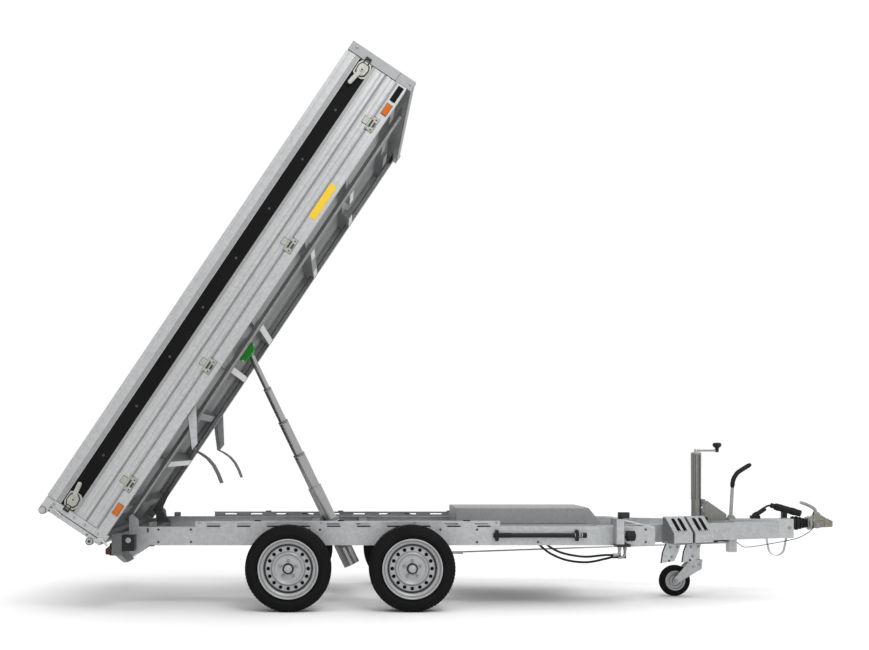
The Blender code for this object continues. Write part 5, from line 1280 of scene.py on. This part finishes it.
def coupling_trim():
    """The gaiter's folds, the coupling's body, handle, seams and collar, and the nose's bolts and patch."""
    start, tip = NOSE_FRONT, COUPLING_TIP
    front = start + GAITER_LENGTH
    folds = []
    for x0, x1, r in ((0.002, 0.026, 0.047), (0.026, 0.05, 0.0475), (0.05, 0.072, 0.042),
                      (0.072, 0.092, 0.036), (0.092, 0.104, 0.033)):
        folds += [(r - 0.01, start + x0), (r - 0.003, start + x0 + 0.004), (r, start + (x0 + x1) / 2),
                  (r - 0.003, start + x1 - 0.004)]
    profile = [(0.0262, start + 0.001), *folds, (0.026, start + 0.104)]
    folded = turned("x", (0, 0, SHAFT_Z), profile, 56)
    piece("gaiter_folds", folded, "rubber", node="gaiter")
    body = (
        (-0.1, -0.034), (-0.08, -0.028), (-0.004, -0.024), (0, -0.018), (0, 0.014), (-0.012, 0.021),
        (-0.045, 0.036), (-0.073, 0.053), (-0.116, 0.054), (-0.126, 0.044),
    )
    outline = [
        (front + CLEAR, SHAFT_Z - 0.029), *moved(body, tip, SHAFT_Z), (front + CLEAR, SHAFT_Z + 0.04),
    ]
    head = [prism("xz", outline, -0.034, 0.034)]
    for d in (0.0, 0.014, 0.028, 0.042, 0.056):
        x0, x1 = tip - 0.078 + d, tip - 0.072 + d
        rib = ((x0, SHAFT_Z - 0.022), (x1, SHAFT_Z - 0.022), (x1, SHAFT_Z + 0.014), (x0, SHAFT_Z + 0.014))
        head += [prism("xz", rib, *across(side, 0.0338, 0.0366)) for side in (1, -1)]
    head.append(rod("x", (0, 0, SHAFT_Z), 0.025, front - 0.13, front + 0.01))
    piece("coupling_body", head, "brass_zinc", edge=0.004, node="coupling_head")
    line = (
        (-0.101, 0, 0.044), (-0.1, 0, 0.072), (-0.112, 0, 0.096), (-0.138, 0, 0.113), (-0.172, 0, 0.128),
        (-0.208, 0, 0.141),
    )
    flat = moved(((-0.122, 0.05), (-0.076, 0.05), (-0.084, 0.074), (-0.112, 0.078)), tip, SHAFT_Z)
    handle = [swept(moved(line, tip, 0, SHAFT_Z), 0.0105, 20)]
    handle += [prism("xz", flat, *across(side, 0.012, 0.015)) for side in (1, -1)]
    piece("coupling_handle", handle, "bolt_grey", edge=0.0008)
    dark = [rod("x", (0, 0, SHAFT_Z), 0.0415, front + 0.0265, front + 0.034, 40)]
    dark += [
        box(tip - x0, tip - x1, -half, half, SHAFT_Z + low, SHAFT_Z + high)
        for x0, x1, half, low, high in (
            (0.131, 0.126, 0.0345, -0.033, 0.043), (0.058, 0.055, 0.0345, -0.026, 0.041),
            (0.12, 0.074, 0.0125, 0.0535, 0.064), (0.1, 0.062, 0.0352, 0.017, 0.02),
        )
    ]
    piece("coupling_seams", dark, "dark_zinc_and_shade")
    collars = [rod("x", (0, 0, SHAFT_Z), 0.0455, front + 0.012, front + 0.026, 40)]
    collars += [
        bolt("y", (front + dx, side * 0.034, SHAFT_Z + dz), radius, height, side)
        for dx, dz, radius, height in ((0.062, -0.012, 0.0085, 0.008), (0.036, 0.02, 0.0075, 0.007))
        for side in (-1, 1)
    ]
    piece("coupling_bolts", collars, "bolt_grey", edge=0.0006)
    marks = [
        bolt("y", (x, side * NOSE_HALF, z), 0.0075, 0.006, side)
        for side in (1, -1)
        for x, z in ((3.952, 0.495), (4.182, 0.462), (3.83, 0.42))
    ]
    piece("nose_bolts", marks, "bolt_grey")
    plate = box(3.866, 3.95, -NOSE_HALF - 0.0012, -NOSE_HALF - GAP, 0.438, 0.484)
    piece("nose_patch", plate, "plain_patch")


def plug_trim():
    """The parked plug with its ribs, its short cable and the socket that holds it."""
    base = NOSE_TOP + CLEAR
    start, end = Vector((PLUG_X - 0.005, 0, base + 0.083)), Vector((PLUG_X + 0.175, 0, base + 0.033))
    along = (end - start).normalized()
    shapes = []
    for low, high, radius in (
        (-0.02, 0.02, 0.017), (0.01, 0.105, 0.0235), (0.024, 0.03, 0.0248), (0.04, 0.046, 0.0248),
        (0.056, 0.062, 0.0248), (0.1, 0.187, 0.0222), (0.118, 0.15, 0.0246),
    ):
        shapes.append(bar(start + along * low, start + along * high, radius, 32))
    cable = (
        (3.952, 0, 0.016), (3.985, 0, 0.034), (4.02, 0, 0.06), (4.05, 0, 0.082), (4.08, 0, 0.087),
        (4.098, 0, 0.082),
    )
    shapes += [
        swept(moved(cable, 0, 0, base), 0.0068, 16, 1.0),
        bar((3.972, 0, base + 0.022), (4.038, 0, base + 0.066), 0.015, 28),
        bar((3.96, 0, base + 0.014), (3.986, 0, base + 0.032), 0.0185, 28),
        box(3.94, 4.0, -0.02, 0.02, base, base + 0.02),
        box(PLUG_X + 0.05, PLUG_X + 0.08, -0.02, 0.02, base, base + 0.05),
    ]
    piece("plug_body", shapes, "rubber", edge=0.0012, node="plug_and_cable")
    clip = box(PLUG_X + 0.044, PLUG_X + 0.086, -0.0262, 0.0262, base, base + 0.004)
    piece("plug_clip", clip, "bright_zinc_and_highlight", edge=0.0006)


def pump_trim():
    """The pump's grey block, valve knob, socket and elbows, and the spare handle's ends and clips."""
    y = -(RAIL_OUT_Y + PUMP_OUT_Y) / 2
    block = box(2.8787, 2.9293, -PUMP_OUT_Y - CLEAR, -RAIL_OUT_Y - 0.0006, 0.399, PUMP_TOP + CLEAR)
    piece("pump_block", block, "galvanised", edge=0.002)
    knurl = []
    for k in range(VALVE_RIBS):
        turn = 2 * math.pi * k / VALVE_RIBS
        centre = (0, y + VALVE_RADIUS * math.cos(turn), VALVE_Z + VALVE_RADIUS * math.sin(turn))
        knurl.append(rod("x", centre, 0.0032, *VALVE_ENDS, 8))
    piece("valve_ribs", knurl, "black_plastic")
    socket = gathered(
        rod("x", (0, y, LEVER_SOCKET_Z), 0.0195, 2.8995, 2.9665, 32),
        rod("y", (2.917, y, LEVER_SOCKET_Z), 0.0075, -0.036, 0.036, 16),
    )
    piece("lever_socket", socket, "black_steel", edge=0.001)
    sleeves, rings = [], []
    for x, elbow_y, z in ((2.945, -0.64, 0.316), (2.905, -0.67, 0.332)):
        bend = ((0, 0, 0.026), (-0.004, 0, 0.008), (-0.014, 0, 0), (-ELBOW_TAIL, 0, 0))
        sleeves.append(swept([(x, elbow_y, 0.386), *moved(bend, x, elbow_y, z)], 0.0088, 20, 1.0))
        rings.append(rod("z", (x, elbow_y, 0), 0.0125, 0.362, 0.3825, 6))
        rings.append(rod("x", (0, elbow_y, z), 0.0102, x - ELBOW_TAIL - 0.0005, x - ELBOW_TAIL + 0.018, 24))
    piece("hose_elbows", sleeves, "bolt_grey")
    piece("hose_nuts", rings, "bolt_grey", edge=0.0006)
    handle_y = -RAIL_OUT_Y - HANDLE_RADIUS - 0.004
    ends = [
        rod("x", (0, handle_y, HANDLE_Z), HANDLE_RADIUS + thick, low, high, 32)
        for thick, low, high in (
            (0.0016, HANDLE_REAR - 0.0005, HANDLE_REAR + 0.01),
            (0.001, HANDLE_REAR + 0.03, HANDLE_REAR + 0.11),
            (0.0016, HANDLE_FRONT - 0.024, HANDLE_FRONT + 0.0005),
        )
    ]
    piece("handle_ends", ends, "rubber", edge=0.001)
    rings = [
        rod("x", (0, handle_y, HANDLE_Z), HANDLE_RADIUS + 0.0007, x, x + 0.0055, 28)
        for x in (2.634, 2.648, 2.662, 2.676)
    ]
    piece("handle_rings", rings, "galvanised")
    out = handle_y - HANDLE_RADIUS - 0.0058
    clips = [
        box(x - 0.0085, x + 0.0085, out, -RAIL_OUT_Y - 0.0008, z - 0.004, z + 0.004)
        for x in (HANDLE_REAR + 0.02, HANDLE_FRONT - 0.06)
        for z in (HANDLE_Z + 0.03, HANDLE_Z - 0.03)
    ]
    piece("handle_clips", clips, "black_plastic", edge=0.001)


def slope_slot(middle, half, low, high):
    """A dark slot with round ends on a chock's ramp, given in (u, share up the ramp)."""
    foot, head = Vector((0, -CHOCK_DEPTH, CHOCK_LIP)), Vector((0, -0.034, CHOCK_TOP))
    normal = Vector((0, -(head.z - foot.z), head.y - foot.y)).normalized()
    bm = bmesh.new()
    rings = []
    for lift in (CLEAR, 0.0009):
        ring = []
        for share, first in ((high, 0), (low, 180)):
            for k in range(9):
                turn = math.radians(first + 22.5 * k)
                at = foot.lerp(head, share) + (head - foot).normalized() * half * math.sin(turn)
                beside = Vector((middle + half * math.cos(turn), 0, 0))
                ring.append(bm.verts.new(at + beside + normal * lift))
        rings.append(ring)
    bm.faces.new(rings[0])
    bm.faces.new(list(reversed(rings[1])))
    for k, vert in enumerate(rings[0]):
        j = (k + 1) % len(rings[0])
        bm.faces.new((vert, rings[1][k], rings[1][j], rings[0][j]))
    bmesh.ops.recalc_face_normals(bm, faces=bm.faces)
    return bm


def chock_trim():
    """The two wheel chocks: ramps with dark slots and teeth, on slanted carrier plates, with painted shade
    on their side faces.
    """
    slope = (LEG_FRONT_Y - LEG_REAR_Y) / (LEG_FRONT_X - LEG_REAR_X)
    turn = math.atan2(-slope, 1.0)
    length, depth, top, lip, bottom = CHOCK_LENGTH, CHOCK_DEPTH, CHOCK_TOP, CHOCK_LIP, CHOCK_BOTTOM
    for index in range(CHOCK_COUNT):
        start = CHOCK_START + index * CHOCK_PITCH * math.cos(turn)
        place = CHASSIS @ Matrix.Translation((start, -leg_y(start) - CLEAR, 0))
        place = place @ Matrix.Rotation(turn, 4, "Z")
        side = ((-depth, bottom), (-depth, lip), (-0.034, top), (-0.004, top), (-0.004, bottom))
        body = [prism("yz", side, 0.0, length)]
        for k in range(CHOCK_TEETH):
            u = 0.022 + k * (length - 0.044) / (CHOCK_TEETH - 1)
            body.append(prism("yz", moved(CHOCK_TOOTH, -depth, lip), u - 0.0048, u + 0.0048))
        plate = (
            (-0.018, 0.389), (0.102, 0.389), (0.084, 0.33), (0.052, 0.272), (-0.056, 0.262), (-0.044, 0.33),
        )
        body.append(prism("xz", plate, -0.06, -0.056))
        shelf = ((-0.002, 0.4), (0.102, 0.4), (0.102, 0.386), (-0.002, 0.386))
        body.append(prism("xz", shelf, -0.06, -0.004))
        piece(
            f"chock_{index + 1}", body,
            "galvanised", "chassis", place, edge=0.0022, node=f"wheel_chock_{index + 1}",
        )
        dark = [slope_slot(middle, 0.0135, 0.16, 0.8) for middle in (length * 0.33, length * 0.67)]
        # Painted shade: darker plates over the chocks' side faces.
        flank = (
            (-depth + 0.008, bottom + 0.007), (-0.012, bottom + 0.007), (-0.012, top - 0.01),
            (-0.036, top - 0.012), (-depth + 0.008, lip - 0.004),
        )
        flanks = [prism("yz", flank, -0.0014, -CLEAR), prism("yz", flank, length + CLEAR, length + 0.0014)]
        piece(f"chock_flank_shades_{index + 1}", flanks, "weathered_and_shaded_zinc", "chassis", place)
        edge = (
            (-0.018, 0.386), (-0.01, 0.386), (-0.036, 0.33), (-0.048, 0.2635), (-0.056, 0.2625),
            (-0.044, 0.33),
        )
        dark.append(prism("xz", edge, -0.0612, -0.0602))
        low, high = -depth - 0.0012, -depth - CLEAR
        dark.append(box(0.004, length - 0.004, low, high, bottom + 0.001, bottom + 0.005))
        dark.append(rod("y", (0.01, 0, 0.276), 0.0062, -0.064, -0.0601, 16))
        piece(f"chock_slots_{index + 1}", dark, "shadow", "chassis", place)
        centres = ((0.02, 0.362), (0.076, 0.362), (0.032, 0.3))
        marks = [bolt("y", (u, -0.0601, z), 0.0068, 0.005, -1) for u, z in centres]
        piece(f"chock_bolts_{index + 1}", marks, "bolt_grey", "chassis", place)


def under_drawbar():
    """The black damper bar under the drawbar and its bracket."""
    damper = gathered(
        rod("x", (0, -0.03, LEG_BOTTOM - 0.018), 0.0155, 3.632, 3.708, 32),
        rod("x", (0, -0.03, LEG_BOTTOM - 0.018), 0.0075, 3.7, 3.77, 20),
        box(3.64, 3.66, -0.04, -0.02, LEG_BOTTOM - 0.01, LEG_BOTTOM - 0.0006),
    )
    piece("damper", damper, "black_steel", edge=0.001)


def front_trim():
    handbrake()
    jack_trim()
    jockey_trim()
    coupling_trim()
    plug_trim()
    pump_trim()
    chock_trim()
    under_drawbar()


# Cords

ROUTE_STEPS = 24


def smooth_route(points, spacing):
    """Points every spacing along a smooth curve through the route's own points."""
    knots = [Vector(p) for p in points]
    dense = []
    for i in range(len(knots) - 1):
        before = knots[i - 1] if i else knots[0] * 2 - knots[1]
        after = knots[i + 2] if i + 2 < len(knots) else knots[-1] * 2 - knots[-2]
        a, b = knots[i], knots[i + 1]
        for k in range(ROUTE_STEPS):
            t = k / ROUTE_STEPS
            dense.append(
                0.5
                * (
                    2 * a
                    + (b - before) * t
                    + (2 * before - 5 * a + 4 * b - after) * t * t
                    + (3 * a - before - 3 * b + after) * t * t * t
                )
            )
    dense.append(knots[-1])
    length = sum((q - p).length for p, q in zip(dense, dense[1:]))
    count = max(int(length / spacing), 2)
    route, walked, target = [dense[0]], 0.0, length / count
    for p, q in zip(dense, dense[1:]):
        step = (q - p).length
        while walked + step >= target and len(route) < count:
            route.append(p.lerp(q, (target - walked) / step))
            target += length / count
        walked += step
    route.append(dense[-1])
    return route, length


def free_cord(name, node, points, diameter, finish):
    """A round cord on the route of its solid, which it replaces."""
    route, length = smooth_route(points, 1.5 * diameter)
    curve = bpy.data.curves.new(name, "CURVE")
    curve.dimensions = "3D"
    curve.bevel_depth = diameter / 2
    curve.bevel_resolution = 6
    curve.use_fill_caps = True
    spline = curve.splines.new("POLY")
    spline.points.add(len(route) - 1)
    for point, at in zip(spline.points, route):
        point.co = (*(CHASSIS @ at), 1.0)
    curve.materials.append(FINISHES[finish])
    obj = bpy.data.objects.new(name, curve)
    bpy.context.scene.collection.objects.link(obj)
    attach(obj, "chassis")
    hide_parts(node)


def cords():
    for index, route in enumerate(HOSE_ROUTES, start=1):
        free_cord(f"hose_{index}", f"hydraulic_hose_{index}", route, HOSE_DIAMETER, "rubber")
    free_cord("safety_cable", "breakaway_cable", BREAKAWAY_ROUTE, BREAKAWAY_DIAMETER, "black_plastic")


# Camera, light and floor

def camera():
    data = bpy.data.cameras.new("camera")
    data.sensor_width = SENSOR_MM
    data.lens = FOCAL_PX / PHOTO_WIDTH * SENSOR_MM
    data.shift_x = (PHOTO_WIDTH / 2 - AXIS_PX[0]) / PHOTO_WIDTH
    data.shift_y = (AXIS_PX[1] - PHOTO_HEIGHT / 2) / PHOTO_WIDTH
    obj = bpy.data.objects.new("camera", data)
    obj.location = CHASSIS @ Vector((CAMERA_STATION, -CAMERA_DISTANCE, CAMERA_HEIGHT))
    obj.rotation_euler = (math.pi / 2, 0, 0)
    bpy.context.scene.collection.objects.link(obj)
    bpy.context.scene.camera = obj


def area_light(name, location, target, size, power):
    data = bpy.data.lights.new(name, "AREA")
    data.shape = "RECTANGLE"
    data.size, data.size_y = size
    data.energy = power
    obj = bpy.data.objects.new(name, data)
    obj.location = location
    aim = Vector(target) - Vector(location)
    obj.rotation_euler = aim.to_track_quat("-Z", "Y").to_euler()
    bpy.context.scene.collection.objects.link(obj)


def maths(tree, operation, *values):
    node = tree.nodes.new("ShaderNodeMath")
    node.operation = operation
    for socket, value in zip(node.inputs, values):
        plug(tree, socket, value)
    return node.outputs["Value"]


def sky():
    """Soft light that grows towards the top; the camera itself sees plain white."""
    world = bpy.data.worlds.new("studio")
    world.use_nodes = True
    tree = world.node_tree
    separate = tree.nodes.new("ShaderNodeSeparateXYZ")
    feed(tree, separate, Vector=shade(tree, "ShaderNodeTexCoord", "Generated"))
    rise = tree.nodes.new("ShaderNodeMapRange")
    rise.interpolation_type = "SMOOTHSTEP"
    feed(tree, rise, From_Min=SKY_FROM, Value=separate.outputs["Z"], To_Min=SKY_LOW, To_Max=SKY_HIGH)
    lean = maths(tree, "MULTIPLY_ADD", separate.outputs["X"], SKY_LEAN, rise.outputs["Result"])
    path = tree.nodes.new("ShaderNodeLightPath").outputs
    seen = path["Is Camera Ray"]
    for ray in ("Is Glossy Ray", "Is Transmission Ray"):
        seen = maths(tree, "MAXIMUM", seen, path[ray])
    strength = shade(tree, "ShaderNodeMix", "Result", Factor=seen, A=lean, B=1.0)
    feed(tree, tree.nodes["Background"], Color=(1.0, 1.0, 1.0, 1.0), Strength=strength)
    bpy.context.scene.world = world


def studio():
    scene = bpy.context.scene
    scene.view_settings.view_transform = "Standard"
    sky()
    area_light("key", (1.5, -6.0, 6.5), (0, 0, 0.6), (3.0, 2.0), KEY_POWER)
    floor = bpy.data.meshes.new("floor")
    floor.from_pydata(
        [(x * FLOOR_REACH, y * FLOOR_REACH, 0) for x, y in ((-1, -1), (1, -1), (1, 1), (-1, 1))],
        [],
        [(0, 1, 2, 3)],
    )
    tree, shader, _ = new_material("pale_floor")
    feed(tree, shader, Base_Color=(0.8, 0.8, 0.8, 1.0), Roughness=0.9, Specular_IOR_Level=0.1)
    floor.materials.append(FINISHES["pale_floor"])
    obj = bpy.data.objects.new("floor", floor)
    scene.collection.objects.link(obj)


# Finishes of the frame's own nodes

NODE_FINISHES = (
    ("tyre", "tyre"),
    ("rim_silver", "rim_"),
    ("strip_black", "side_strip"),
    ("black_plastic", ("plug_and_cable", "pump_handle")),
    ("sheet_steel", ("side_board", "headboard", "tailgate", "bed_rim", "drawbar_nose")),
    # the deck: its weathering, and painted shade on its underside
    ("weathered_and_shaded_zinc", ("bed_deck", "lamp_beam")),
    ("chrome_rod", "cylinder_"),
    ("bright_zinc_and_highlight", "jack_inner_tube"),
    ("jack_grey", "jack_tube"),
    # painted shade on the parts under the bed
    ("shaded_zinc", ("longeron", "hinge_crossbeam", "lift_cradle", "lift_crossbeam")),
    ("flap_rubber", "mudflap"),
    ("black_steel", "hand_pump"),
    ("green_paint", "ball_seat"),
    ("red_lens", "tail_lamp"),
    ("rubber", ("gaiter", "jockey_wheel")),
    ("brass_zinc", "coupling_head"),
    ("cover_zinc_and_shade", ("hydraulic_cover", "cover_tray")),
)


def node_finish(name):
    return next((finish for finish, starts in NODE_FINISHES if name.startswith(starts)), "galvanised")


def dress_frame(frame):
    for name, obj in frame["nodes"].items():
        for slot in obj.material_slots:
            slot.material = FINISHES[node_finish(name)]


def main():
    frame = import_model()
    make_materials()
    camera()
    studio()
    cords()
    dress_frame(frame)
    wheels()
    bed_trim()
    cylinder_trim()
    seat_cheeks()
    rail_bolts()
    rear_trim()
    front_trim()


main()
